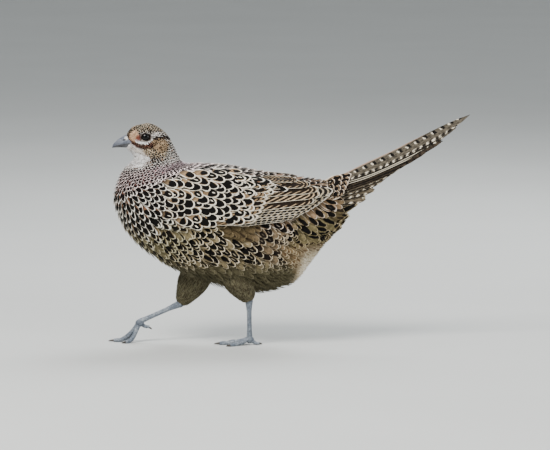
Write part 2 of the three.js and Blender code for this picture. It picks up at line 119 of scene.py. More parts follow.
# %% A material that is written as sums
class Signal:
    """A number, colour or vector that changes over a surface."""

    def __init__(self, finish, socket):
        self.finish = finish
        self.socket = socket

    def math(self, operation, *values):
        return self.finish.node("ShaderNodeMath", {"operation": operation}, values)

    def __add__(self, other):
        return self.math("ADD", self, other)

    def __sub__(self, other):
        return self.math("SUBTRACT", self, other)

    def __rsub__(self, other):
        return self.math("SUBTRACT", other, self)

    def __mul__(self, other):
        return self.math("MULTIPLY", self, other)

    def __truediv__(self, other):
        return self.math("DIVIDE", self, other)

    def __pow__(self, other):
        return self.math("POWER", self, other)

    def __abs__(self):
        return self.math("ABSOLUTE", self)

    def most(self, other):
        return self.math("MAXIMUM", self, other)

    def wave(self):
        return self.math("SINE", self)

    def ramp(self, start, end):
        """0 below start and 1 past end, with a smooth step between."""
        return self.finish.node("ShaderNodeMapRange", {"interpolation_type": "SMOOTHSTEP"}, {
            "Value": self, "From Min": start, "From Max": end})

    __radd__ = __add__
    __rmul__ = __mul__


class Finish:
    """A material of one Principled shader, with its nodes added one by one."""

    def __init__(self, name, **constants):
        self.material = bpy.data.materials.new(name)
        self.material.use_nodes = True
        self.tree = self.material.node_tree
        self.shader = self.tree.nodes["Principled BSDF"]
        for socket, value in constants.items():
            self.shader.inputs[socket.replace("_", " ")].default_value = value

    def node(self, kind, settings, values=(), output=0):
        """Adds a node: its settings first, then its sockets' values or links."""
        made = self.tree.nodes.new(kind)
        for setting, value in settings.items():
            setattr(made, setting, value)
        pairs = values.items() if isinstance(values, dict) else enumerate(values)
        for socket, value in pairs:
            if isinstance(value, Signal):
                self.tree.links.new(value.socket, made.inputs[socket])
            else:
                made.inputs[socket].default_value = value
        return Signal(self, made.outputs[output])

    def mix(self, factor, first, second, blend="MIX"):
        """Colours one over the other: sockets 6 and 7 of the node are its two colours."""
        settings = {"data_type": "RGBA", "blend_type": blend}
        first, second = [value if isinstance(value, Signal) else (*value, 1)
                         for value in (first, second)]
        return self.node("ShaderNodeMix", settings, {0: factor, 6: first, 7: second}, output=2)

    def attribute(self, name):
        return self.node("ShaderNodeAttribute", {"attribute_name": name}, output=1)

    def place(self):
        """Where a point is in its own object, which is also its place in the frame."""
        return self.node("ShaderNodeTexCoord", {}, output=3)

    def parts(self, vector):
        split = self.node("ShaderNodeSeparateXYZ", {}, [vector]).socket.node
        return [Signal(self, socket) for socket in split.outputs]

    def feather_map(self):
        """How far across and how far along its feather a point is."""
        return self.parts(self.node("ShaderNodeUVMap", {"uv_map": "feather"}))[:2]

    def far_from(self, spot):
        """Metres from a spot of the drawing, seen from the side."""
        x, _, z = self.parts(self.place())
        centre_x, _, centre_z = map(float, to_frame([spot[0], 0, spot[-1]]))
        return ((x - centre_x) ** 2 + (z - centre_z) ** 2) ** 0.5

    def noise(self, scale, detail=3.0, stretch=(1, 1, 1)):
        turned = self.node("ShaderNodeMapping", {}, {"Vector": self.place(), "Scale": stretch})
        return self.node("ShaderNodeTexNoise", {}, {
            "Vector": turned, "Scale": scale, "Detail": detail})

    def feed(self, **signals):
        for socket, signal in signals.items():
            self.tree.links.new(signal.socket, self.shader.inputs[socket.replace("_", " ")])

    def bump(self, height, depth):
        self.feed(Normal=self.node("ShaderNodeBump", {}, {"Height": height, "Distance": depth}))


def tint(red, green, blue):
    """A colour as a screen shows it, 0 to 255, as the light that a shader takes."""
    shares = np.array([red, green, blue]) / 255
    return tuple(float(value) for value in np.where(
        shares <= 0.04045, shares / 12.92, ((shares + 0.055) / 1.055) ** 2.4))


# %% [markdown]
# ## Meshes from arrays
# A finished piece keeps its object at the origin and its place in its mesh, rides on the one
# body, and names the solids it stands for.

# %% One helper that makes a piece
def make_mesh(name, points, faces):
    """A mesh of faces with one number of corners, with its points given in metres."""
    faces = np.asarray(faces)
    mesh = bpy.data.meshes.new(name)
    mesh.vertices.add(len(points))
    mesh.vertices.foreach_set("co", np.asarray(points, np.float32).ravel())
    mesh.loops.add(faces.size)
    mesh.loops.foreach_set("vertex_index", faces.astype(np.int32).ravel())
    mesh.polygons.add(len(faces))
    mesh.polygons.foreach_set("loop_start", np.arange(0, faces.size, faces.shape[1], np.int32))
    mesh.update(calc_edges=True)
    mesh.polygons.foreach_set("use_smooth", np.full(len(faces), True))
    return mesh


def add_piece(name, mesh, finish, replaced=()):
    """One visible piece: what it rides on and the solids that it stands for."""
    piece = set_out(name, mesh)
    if not mesh.materials:
        mesh.materials.append(finish.material)
    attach(piece, "root")
    if replaced:
        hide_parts(*replaced)
    triangles = sum(len(face.vertices) - 2 for face in mesh.polygons)
    print(f"{name}: {triangles} triangles")


def full_turn(sides):
    return np.arange(sides) * 2 * math.pi / sides


def ring_faces(rows, sides):
    """Quads between rows of points, each row a ring of so many sides."""
    corner = np.arange(rows * sides).reshape(rows, sides)
    after = np.roll(corner, -1, axis=1)
    return np.stack([corner[:-1], after[:-1], after[1:], corner[1:]], -1).reshape(-1, 4)


def set_uv(mesh, name, values):
    """Gives a mesh a map from one pair of numbers for each of its points."""
    corners = np.empty(len(mesh.loops), np.int32)
    mesh.loops.foreach_get("vertex_index", corners)
    layer = mesh.uv_layers.new(name=name)
    layer.data.foreach_set("uv", np.asarray(values, np.float32)[corners].ravel())


def set_vectors(mesh, name, values):
    attribute = mesh.attributes.new(name, "FLOAT_VECTOR", "POINT")
    attribute.data.foreach_set("vector", values.astype(np.float32).ravel())


# %% Floor and wall in one wide bowl
def make_floor():
    flat, radius, top, sides = 7.5, 3.0, 8.0, 96
    turn = np.linspace(0, math.pi / 2, 25)
    bend = np.stack([flat + radius * np.sin(turn), radius * (1 - np.cos(turn))], 1)
    profile = np.vstack([[0, 0], bend, [flat + radius, top]])
    angle = full_turn(sides)
    points = np.stack([
        profile[:, :1] * np.cos(angle), profile[:, :1] * np.sin(angle),
        np.repeat(profile[:, 1:], sides, axis=1)], -1)
    faces = ring_faces(len(profile), sides)[:, [0, 3, 2, 1]]
    finish = Finish("pale_floor", Roughness=0.9)
    finish.feed(Base_Color=finish.mix(
        finish.noise(3.0), tint(188, 189, 186), tint(196, 197, 194)))
    floor = set_out("floor", make_mesh("floor", points.reshape(-1, 3), faces))
    floor.data.materials.append(finish.material)


make_floor()

# %% Soft boxes
BIRD_MIDDLE = 0.17  # metres over the floor


def soft_box(name, place, size, power, colour=(1, 1, 1)):
    light = bpy.data.lights.new(name, "AREA")
    light.shape = "DISK"
    light.size = size
    light.energy = power
    light.color = colour
    holder = set_out(name, light)
    holder.location = place
    way = np.array([SLIDE[0], 0, BIRD_MIDDLE]) - place
    turn = math.atan2(-way[0], way[1])
    holder.rotation_euler = (math.atan2(math.hypot(way[0], way[1]), -way[2]), 0, turn)


soft_box("key_box", np.array([-1.3, -1.7, 2.3]), 1.3, 125, (1.0, 0.98, 0.95))
soft_box("side_box", np.array([1.8, -1.9, 1.0]), 1.8, 40)
soft_box("back_box", np.array([0.6, 1.5, 2.0]), 1.4, 55, (0.95, 0.98, 1.0))
sky = bpy.data.worlds.new("open_sky")
sky.use_nodes = True
background = sky.node_tree.nodes["Background"].inputs
background["Color"].default_value = (0.9, 0.95, 1.0, 1)
background["Strength"].default_value = 0.85
bpy.context.scene.world = sky
print("three soft boxes and a pale sky")

# %% [markdown]
# ## The body's form
# The solids' head, neck and torso are one smooth form, cut apart by thin planes. It is lofted
# over stations, each a slanted slice from the back to the underside. The same stations are
# repeated here, so the skin and every feather root can be worked out on that very surface:
# `body_point(s, angle)`, with s from the face to the rump and the angle round from the back.

# %% Stations and the surface they span
# back x, back z, underside x, underside z, half width, squareness of the section
STATIONS = np.array([
    [-221.8, 276.4, -221.8, 275.6, 0.8, 2.0],
    [-220.5, 286.0, -221.2, 267.0, 6.8, 2.0],
    [-214.5, 293.7, -217.0, 261.6, 10.8, 2.1],
    [-204.0, 298.0, -213.6, 258.6, 13.6, 2.1],
    [-190.0, 299.6, -212.0, 255.4, 15.8, 2.1],
    [-175.5, 292.8, -211.6, 252.8, 17.0, 2.1],
    [-164.0, 281.0, -213.3, 250.0, 18.6, 2.1],
    [-156.2, 266.5, -217.5, 245.8, 21.6, 2.0],
    [-150.5, 254.5, -224.0, 240.0, 26.0, 2.0],
    [-145.0, 247.4, -231.0, 229.5, 32.5, 2.0],
    [-138.5, 246.0, -237.0, 215.0, 40.0, 2.0],
    [-131.0, 246.0, -239.8, 199.0, 46.5, 2.1],
    [-120.0, 245.8, -234.8, 177.8, 52.0, 2.1],
    [-105.0, 245.0, -220.3, 150.3, 56.0, 2.2],
    [-86.0, 243.6, -190.0, 121.5, 58.5, 2.2],
    [-64.0, 240.0, -146.0, 96.5, 59.5, 2.2],
    [-40.0, 235.7, -95.0, 77.5, 58.5, 2.2],
    [-16.0, 232.0, -42.0, 69.8, 54.0, 2.2],
    [8.0, 228.7, 2.0, 83.0, 46.5, 2.1],
    [30.0, 226.0, 26.0, 112.0, 38.0, 2.1],
    [46.0, 222.0, 48.0, 140.0, 29.5, 2.0],
    [60.0, 216.0, 68.0, 161.0, 21.5, 2.0],
    [73.0, 208.0, 80.0, 181.0, 13.5, 2.0],
    [83.0, 200.0, 83.5, 196.0, 2.0, 2.0],
])
LAST_STATION = len(STATIONS) - 1
FLANK_START, HALVINGS = 9, 26  # first station of the flank, steps of the search for a station
BACK = STATIONS[:, [0, 4, 1]]
UNDER = STATIONS[:, [2, 5, 3]]


def spline(points, share):
    """A smooth curve through points, at shares of its way from 0 to 1."""
    points = np.asarray(points, float)
    spans = len(points) - 1
    padded = np.vstack([2 * points[0] - points[1], points, 2 * points[-1] - points[-2]])
    place = np.clip(share, 0, 1) * spans
    first = np.minimum(place.astype(int), spans - 1)
    part = (place - first)[..., None]
    before, start, end, after = [padded[first + step] for step in range(4)]
    leave, arrive = (end - before) / 2, (after - start) / 2
    return (start + part * leave + part ** 2 * (3 * (end - start) - 2 * leave - arrive)
            + part ** 3 * (2 * (start - end) + leave + arrive))


def body_point(s, angle):
    back, under = spline(BACK, s), spline(UNDER, s)
    power = 2 / under[..., 1]
    up = np.sign(np.cos(angle)) * np.abs(np.cos(angle)) ** power
    out = np.sign(np.sin(angle)) * np.abs(np.sin(angle)) ** power
    return np.stack([
        (back[..., 0] + under[..., 0]) / 2 + (back[..., 0] - under[..., 0]) / 2 * up,
        -back[..., 1] * out,
        (back[..., 2] + under[..., 2]) / 2 + (back[..., 2] - under[..., 2]) / 2 * up], -1)


def by_station(s, stations, values):
    """Values that are known at a few stations, at any s."""
    return np.interp(s * LAST_STATION, stations, values)


def unit(vectors):
    return vectors / np.maximum(np.linalg.norm(vectors, axis=-1, keepdims=True), 1e-9)


def body_slopes(s, angle):
    """How the surface's points move with s and with the angle."""
    step = 0.002
    s = np.clip(s, step, 1 - step)
    along = (body_point(s + step, angle) - body_point(s - step, angle)) / (2 * step)
    around = (body_point(s, angle + step) - body_point(s, angle - step)) / (2 * step)
    return along, around


def body_normal(s, angle):
    along, around = body_slopes(s, angle)
    return unit(np.cross(around, along))


def flank_place(x, z):
    """The s and angle of the left flank's point that shows at x, z from the side."""
    x, z = np.broadcast_arrays(np.asarray(x, float), np.asarray(z, float))
    low = np.full(x.shape, FLANK_START / LAST_STATION)
    high = np.ones(x.shape)
    for _ in range(HALVINGS):
        half = (low + high) / 2
        back, under = spline(BACK, half), spline(UNDER, half)
        turn = ((under[..., 0] - back[..., 0]) * (z - back[..., 2])
                - (under[..., 2] - back[..., 2]) * (x - back[..., 0]))
        low = np.where(turn > 0, half, low)
        high = np.where(turn > 0, high, half)
    back, under = spline(BACK, low), spline(UNDER, low)
    span = (back - under)[..., [0, 2]] / 2
    middle = (back + under)[..., [0, 2]] / 2
    away = np.stack([x, z], -1) - middle
    up = np.clip((away * span).sum(-1) / (span ** 2).sum(-1), -0.995, 0.995)
    return low, np.arccos(np.sign(up) * np.abs(up) ** (under[..., 1] / 2))


print("body length:", round(float(np.ptp(STATIONS[:, [0, 2]]))), "mm")

# %% [markdown]
# ## What a feather is here
# A feather is a blade: a grid bent along a line, closed above and below, with its edges a
# little lower than its shaft. Its own map runs across from edge to edge and along from the root
# to the tip, and one power rounds the tip in the mesh and in the paint.
# Thousands are made at once, as arrays with one row for each feather.

# %% Blades
class Blade:
    """The grid that all feathers of one kind share."""

    def __init__(self, columns, rows, shoulder=0.55, point=2.0, root=0.5, thick=0.22,
                 curl=0.012, full=0.45):
        self.thick, self.curl, self.shoulder = thick, curl, shoulder
        across = np.linspace(-1, 1, columns + 1)
        along = np.linspace(0, 1, rows + 1)
        reach = shoulder + (1 - shoulder) * (1 - np.abs(across) ** point) ** (1 / point)
        self.v = along[:, None] * reach[None, :]
        self.u = np.broadcast_to(across, self.v.shape)
        rise = np.clip(self.v / full, 0, 1)
        self.width = root + (1 - root) * rise * rise * (3 - 2 * rise)
        count = self.v.size
        corner = np.arange(count).reshape(rows + 1, columns + 1)
        a, b = corner[:-1, :-1].ravel(), corner[:-1, 1:].ravel()
        c, d = corner[1:, 1:].ravel(), corner[1:, :-1].ravel()
        rim = np.concatenate([corner[0, :-1], corner[:-1, -1], corner[-1, :0:-1],
                              corner[:0:-1, 0]])
        after = np.roll(rim, -1)
        self.faces = np.vstack([
            np.stack([a, b, c, d], 1), np.stack([d, c, b, a], 1) + count,
            np.stack([rim, rim + count, after + count, after], 1)])


def along_lines(lines, share):
    """Points at shares of the way along each of many lines, in straight spans."""
    spans = lines.shape[1] - 1
    place = np.clip(share, 0, 1) * spans
    first = np.minimum(place.astype(int), spans - 1)
    part = (place - first)[None, ..., None]
    return lines[:, first] * (1 - part) + lines[:, first + 1] * part


def grow_blades(blade, lines, normals, half):
    """Blades along lines: points of all of them, with the upper grid before the lower one."""
    centre = along_lines(lines, blade.v)
    tangents = unit(np.gradient(lines, axis=1))
    tangent = unit(along_lines(tangents, blade.v))
    normal = along_lines(normals, blade.v)
    normal = unit(normal - (normal * tangent).sum(-1, keepdims=True) * tangent)
    across = np.cross(tangent, normal)
    offset = (blade.u * blade.width)[None, :, :, None] * np.reshape(half, (-1, 1, 1, 1))
    thick = blade.thick * (1 - 0.6 * blade.v)[None, :, :, None]
    crown = centre + across * offset - normal * blade.curl * offset ** 2
    upper, lower = crown + normal * thick / 2, crown - normal * thick / 2
    count = len(lines)
    return np.concatenate([upper.reshape(count, -1, 3), lower.reshape(count, -1, 3)], 1)


# %% [markdown]
# ## A coat collects feathers
# Each feather carries its colours as attributes: a ground, an edge and a dark middle, with the
# width of the edge, the size of the middle and how strongly it is barred. The material reads
# them, so one finish paints every feather, and neighbours change slowly over the body.
# A second map, OFBake, puts each feather as a small patch where its root sits on the skin.

# %% Coats
PATCH = 0.003  # length of a feather's patch in the second map


class Coat:
    """Feathers that will be one mesh."""

    def __init__(self, name):
        self.name = name
        self.points, self.faces, self.maps, self.patches = [], [], [], []
        self.looks = {key: [] for key in ("ground", "edge", "middle", "marks", "form", "luck",
                                       "shape")}
        self.count = 0

    def add(self, blade, lines, normals, half, roots, looks, mirrored=False):
        """roots are s and angle of each feather's root, and looks its colours and marks."""
        if not len(lines):
            return
        points = grow_blades(blade, lines, normals, half)
        each = points.shape[1]
        faces = blade.faces[None] + (self.count + each * np.arange(len(lines)))[:, None, None]
        if mirrored:
            points = points * np.array([1, -1, 1])
            faces = faces[:, :, ::-1]
        own = np.stack([blade.u, blade.v], -1).reshape(-1, 2)
        own = np.vstack([own, own])
        turn = np.where(mirrored, -1, 1) * roots[1] / (2 * math.pi)
        place = np.stack([0.5 + 0.98 * turn, 0.01 + 0.98 * roots[0]], 1)
        patch = (own * [0.5, 1] - [0, 0.5]) * PATCH
        self.points.append(points.reshape(-1, 3))
        self.faces.append(faces.reshape(-1, 4))
        self.maps.append(np.tile(own * [0.5, 1] + [0.5, 0], (len(lines), 1)))
        self.patches.append((place[:, None, :] + patch[None]).reshape(-1, 2))
        looks["luck"][:, 2] = blade.shoulder
        for key, store in self.looks.items():
            store.append(np.repeat(looks[key], each, axis=0))
        self.count += each * len(lines)

    def make(self, finish, slot, replaced=()):
        mesh = make_mesh(self.name, to_frame(np.vstack(self.points)), np.vstack(self.faces))
        set_uv(mesh, "feather", np.vstack(self.maps))
        set_uv(mesh, "OFBake", np.vstack(self.patches))
        for key, store in self.looks.items():
            set_vectors(mesh, key, np.vstack(store))
        add_piece(self.name, mesh, finish, replaced)


# %% [markdown]
# ## The paint of a feather
# Distance from the shaft and from the tip give one number, 1 all along the feather's edge. The
# pale edge is a step in that number, and bars lean with it. The dark middle is an ellipse near
# the shaft, on some feathers with a paler streak in it. Noise makes all of them ragged. Fine
# barbs leave the shaft at a slant: they darken and raise the surface a little.

# %% Plumage finish
FEATHER_RELIEF = 0.00012  # metres that a shaft stands up
SHAFT = (0.02, 0.09)  # where a shaft ends, as shares of the feather's half width
ROUND = 2.0  # the power that rounds a feather's tip


def plumage(name):
    finish = Finish(name, Roughness=0.85, Specular_IOR_Level=0.1)
    across, along = finish.feather_map()
    edge_width, middle_size, bars = finish.parts(finish.attribute("marks"))
    waves, lean, wedge = finish.parts(finish.attribute("form"))
    middle_at, short, streak = finish.parts(finish.attribute("shape"))
    tone, phase, shoulder = finish.parts(finish.attribute("luck"))
    ground, pale, dark = [finish.attribute(key) for key in ("ground", "edge", "middle")]
    across = across * 2 - 1
    side = abs(across)
    # The pale edge
    tip = ((along - shoulder) / (1 - shoulder)).most(0)
    rough = finish.noise(520, 2.0) - 0.5
    rim = (side ** ROUND + tip ** ROUND) ** (1 / ROUND) + rough * 0.12
    ragged = finish.noise(190) - 0.5
    edge = (rim + ragged * 0.16).ramp(0.95 - edge_width, 1.01 - edge_width)
    # The dark middle, a little to one side, and its streak
    below = (along - middle_at) * short
    aside = abs(across + (phase - 0.5) * 0.4)
    taper = (aside * (1.25 + wedge * below).most(0.1)) ** 1.4
    core = (taper + abs(below) ** 1.4) ** (1 / 1.4) + rough * 0.36 + ragged * 0.5
    middle = 1 - core.ramp(middle_size - 0.06, middle_size + 0.06)
    light = 1 - ((aside * 6) ** 2 + (below * 2 + 0.3) ** 2 + ragged).ramp(0.1, 0.4)
    # Bars, barbs and a mottled ground
    bar = ((along + rim * lean) * waves + phase * 6.28).wave() + rough * 0.8
    barred = (bar + 2 * bars - 1).ramp(0.02, 0.3)
    barbs = (along * 130 - side * 38).wave()
    mottle = finish.noise(260).ramp(0.35, 0.7)
    colour = finish.mix(mottle * 0.45, ground, dark)
    colour = finish.mix(middle.most(barred), colour, dark)
    colour = finish.mix(light * streak, colour, pale)
    colour = finish.mix(edge, colour, pale)
    # Each feather has its own tone, and its root is in the shade of those above it
    shade = (0.8 + tone * 0.25) * (0.95 + barbs * 0.05) * (0.4 + along.ramp(0.15, 0.55) * 0.6)
    bright = finish.node("ShaderNodeCombineXYZ", {}, [shade, shade, shade])
    finish.feed(Base_Color=finish.mix(1.0, colour, bright, "MULTIPLY"))
    shaft = 1 - side.ramp(*SHAFT)
    finish.bump(barbs * 0.3 + shaft, FEATHER_RELIEF)
    return finish


coat_finish = plumage("contour_feathers")
print("plumage nodes:", len(coat_finish.tree.nodes))

# %% [markdown]
# ## Colours by place
# A hen's plumage is made of a few looks that fade into one another over the body: black and
# buff specks on the crown, a bare red spot before the eye, a white crescent under it, a white
# throat, pinkish bars low on the neck, scales on the breast, plain dark olive on the belly. The
# dark olive low on the breast and on the belly is partly painted shade and painted green light
# reflected from the ground. Each look is named once. A painter starts from one look and lays
# others over it through masks.

# %% Looks
# ground, edge and middle colour, 0 to 255; edge width, middle size, dark share of the bars; waves
# along the feather, their lean, how wedge-shaped the middle is; where the middle sits, how short
# it is, how pale its streak; share of feathers without a middle
BLACK = (9, 7, 6)
LOOKS = {
    "crown": ((84, 63, 46), (204, 188, 164), (10, 8, 6), (.19, 1.2, 0), (0, 0, .2), (.73, 3, 0), .08),
    "forehead": ((104, 76, 56), (206, 182, 154), (10, 8, 6), (.16, 1.25, 0), (0, 0, .2), (.75, 3, 0), .06),
    "lores": ((214, 174, 138), (234, 206, 176), (130, 88, 66), (.22, .5, 0), (0, 0, 0), (.8, 4, 0), .4),
    "red_spot": ((132, 40, 38), (150, 62, 54), (60, 14, 14), (.16, .6, 0), (0, 0, 0), (.8, 4, 0), .3),
    "crescent": ((253, 252, 250), (255, 254, 252), (240, 234, 226), (.2, 0, 0), (0, 0, 0), (.8, 4, 0), 1),
    "eye_line": ((34, 24, 20), (60, 44, 36), (14, 10, 9), (.08, .6, 0), (0, 0, 0), (.8, 4, 0), 0),
    "malar": ((92, 50, 40), (196, 152, 124), (20, 11, 9), (.12, 1.1, 0), (0, 0, .2), (.76, 3, 0), .12),
    "ear": ((180, 150, 116), (212, 188, 154), (34, 22, 16), (.14, .52, 0), (0, 0, .2), (.74, 1.5, 0), .2),
    "throat": ((250, 248, 246), (254, 253, 252), (150, 128, 118), (.2, .4, 0), (0, 0, 0), (.8, 4, 0), .93),
    "cheek": ((196, 172, 138), (246, 236, 220), (24, 17, 13), (.2, 1.0, 0), (0, 0, .2), (.77, 3.6, 0), .15),
    "nape": ((132, 108, 90), (250, 244, 236), (12, 9, 8), (.2, 1.15, 0), (0, 0, .2), (.74, 3.1, 0), .06),
    "mauve": ((176, 138, 142), (250, 230, 232), (34, 19, 22), (.22, 1.1, 0), (0, 0, .2), (.74, 3, 0), .08),
    "neck_bars": ((140, 92, 88), (253, 234, 230), (16, 8, 8), (.2, 1.25, 0), (0, 0, 0), (.72, 3.4, 0), 0),
    "breast": ((138, 100, 76), (254, 247, 234), BLACK, (.17, 1.15, 0), (0, 0, .3), (.74, 3.4, 0), 0),
    # low on the breast the colours are darker and olive: partly painted shade and painted green light
    # reflected from the ground
    "low_breast_painted_shade": ((122, 112, 82), (206, 196, 162), (18, 14, 10), (.12, .7, 0), (0, 0, .9),
        (.77, 4.2, 0), .22),
    # the belly's dark olive is mostly painted shade and painted green light reflected from the ground
    "belly_painted_shade": ((92, 86, 64), (112, 105, 82), (66, 60, 44), (.1, .3, 0), (0, 0, 0), (.8, 2, 0), .5),
    "vent": ((126, 106, 76), (166, 148, 118), (90, 68, 46), (.2, .3, 0), (0, 0, 0), (.8, 2, 0), .5),
    "pale_vent": ((220, 206, 178), (240, 230, 208), (182, 160, 128), (.2, .3, 0), (0, 0, 0),
        (.8, 2, 0), .5),
    "mantle": ((138, 104, 86), (252, 240, 230), BLACK, (.14, 1.05, 0), (0, 0, .6), (.75, 3, .2), 0),
    "back": ((136, 106, 84), (250, 234, 220), (12, 9, 8), (.11, .9, 0), (0, 0, .7), (.75, 2.7, .3), .05),
    "rump": ((156, 128, 98), (240, 220, 200), (13, 10, 8), (.11, .76, 0), (0, 0, .8), (.74, 2.4, 0), .08),
    "rump_side": ((128, 116, 82), (186, 168, 132), BLACK, (.08, .68, 0), (0, 0, 1.2), (.72, 1.5, 0), .3),
    "scapular": ((140, 102, 78), (250, 240, 224), (10, 8, 7), (.13, 1.0, 0), (0, 0, .8), (.68, 1.8, .7), 0),
    "covert": ((154, 128, 98), (250, 240, 220), BLACK, (.15, .87, 0), (0, 0, 1.3), (.77, 3.1, 1), .02),
    "great_covert": ((150, 124, 94), (234, 222, 200), (18, 14, 11), (.09, .72, .5), (66, .2, .8),
        (.74, 3.8, .6), .1),
    "tertial": ((198, 172, 138), (238, 226, 204), (32, 24, 18), (.06, .5, .84), (62, .16, 1),
        (.72, 2.4, .3), .1),
    "quill": ((182, 166, 138), (236, 226, 208), (20, 16, 13), (.05, 0, .86), (92, .07, 0), (.8, 2, 0), 0),
    "flank": ((144, 128, 96), (234, 218, 188), BLACK, (.12, .78, 0), (0, 0, 1.3), (.77, 2.5, .4), .12),
    "flank_small": ((122, 104, 80), (204, 188, 160), (20, 15, 12), (.13, .8, 0), (0, 0, .8),
        (.76, 3.2, .2), .2),
    "flank_gap": ((92, 78, 54), (124, 108, 78), (48, 38, 26), (.1, .4, 0), (0, 0, 0), (.8, 2, 0), .5),
    "thigh": ((120, 114, 88), (152, 145, 119), (76, 68, 52), (.12, .5, 0), (0, 0, 0), (.75, 1.6, 0), .3),
    "undertail": ((120, 104, 72), (210, 190, 154), BLACK, (.09, .74, 0), (0, 0, 1.2), (.73, 1.6, 0), .15),
    "tail_covert": ((140, 118, 94), (236, 218, 196), (13, 10, 8), (.09, .7, .38), (30, .1, .8),
        (.7, 3, .5), .1),
    # pairs under the middle ones: their dark ground is painted shade under the upper pairs
    "tail_under_painted_shade": ((64, 54, 43), (150, 136, 114), (9, 8, 7), (.1, 0, 0), (112, 0, 0), (.8, 2, 0), 0),
    "tail_outer": ((98, 88, 72), (146, 132, 110), (14, 11, 9), (.1, 0, .55), (112, 0, 0), (.8, 2, 0), 0),
    "tail": ((92, 85, 73), (158, 132, 114), (12, 10, 8), (.1, 0, 1), (112, 0, 0), (.8, 2, 0), 0),
}
FIELDS = ("ground", "edge", "middle", "marks", "form", "shape", "plain")
MARK_SPREAD = 0.36  # how far the marks of one feather may differ from its look
STREAKED_SHARE = 0.32  # of all feathers


def look_rows(name, count):
    """A look's values, repeated for so many feathers."""
    values = [tint(*colour) for colour in LOOKS[name][:3]] + list(LOOKS[name][3:])
    return {key: np.tile(np.array(value, float), (count, 1))
            for key, value in zip(FIELDS, values)}


def lay_over(rows, name, mask):
    """Lays one look over others through a mask, in place."""
    new = look_rows(name, len(mask))
    for key in FIELDS:
        rows[key] += (new[key] - rows[key]) * mask[:, None]


def with_luck(rows):
    """Gives each feather its own tone, and leaves the middle out of some."""
    count = len(rows["form"])
    rows["luck"] = random.random((count, 3))
    rows["marks"] = rows["marks"] * (1 + MARK_SPREAD * (random.random((count, 3)) - 0.5))
    rows["marks"][:, 1] *= random.random(count) >= rows["plain"][:, 0]
    rows["shape"] = rows["shape"] * np.stack([
        np.ones(count), 0.85 + 0.3 * random.random(count),
        random.random(count) < STREAKED_SHARE], 1)
    return rows


# %% Masks in the side view
def fade(value, start, end):
    share = np.clip((value - start) / (end - start), 0, 1)
    return share * share * (3 - 2 * share)


def spot(x, z, centre, radii, turn=0.0, soft=0.25):
    """1 inside an ellipse seen from the side."""
    lean = math.radians(turn)
    dx, dz = x - centre[0], z - centre[1]
    forward = dx * math.cos(lean) + dz * math.sin(lean)
    upward = dz * math.cos(lean) - dx * math.sin(lean)
    far = np.hypot(forward / radii[0], upward / radii[1])
    return 1 - fade(far, 1 - soft, 1 + soft)


def stroke(x, z, points, half, soft=0.8):
    """1 close to a line of points seen from the side."""
    near = np.full(np.shape(x), 1e9)
    for (x0, z0), (x1, z1) in zip(points[:-1], points[1:]):
        length = (x1 - x0) ** 2 + (z1 - z0) ** 2
        share = np.clip(((x - x0) * (x1 - x0) + (z - z0) * (z1 - z0)) / length, 0, 1)
        near = np.minimum(near, np.hypot(x - x0 - share * (x1 - x0), z - z0 - share * (z1 - z0)))
    return 1 - fade(near, half - soft, half + soft)


# %% Which look grows where
CRESCENT = [(-207, 277.6), (-202, 274.8), (-195.5, 273.8), (-188.0, 275.2), (-183.2, 279.8)]
EYE_LINE = [(-182.0, 279.4), (-178.0, 281.6), (-171.5, 282.4), (-162.0, 280.0)]
MALAR = [(-217.0, 277.0), (-210.3, 273.4), (-204.9, 270.2), (-199.5, 268.9), (-192.7, 269.2),
         (-187.0, 271.2)]


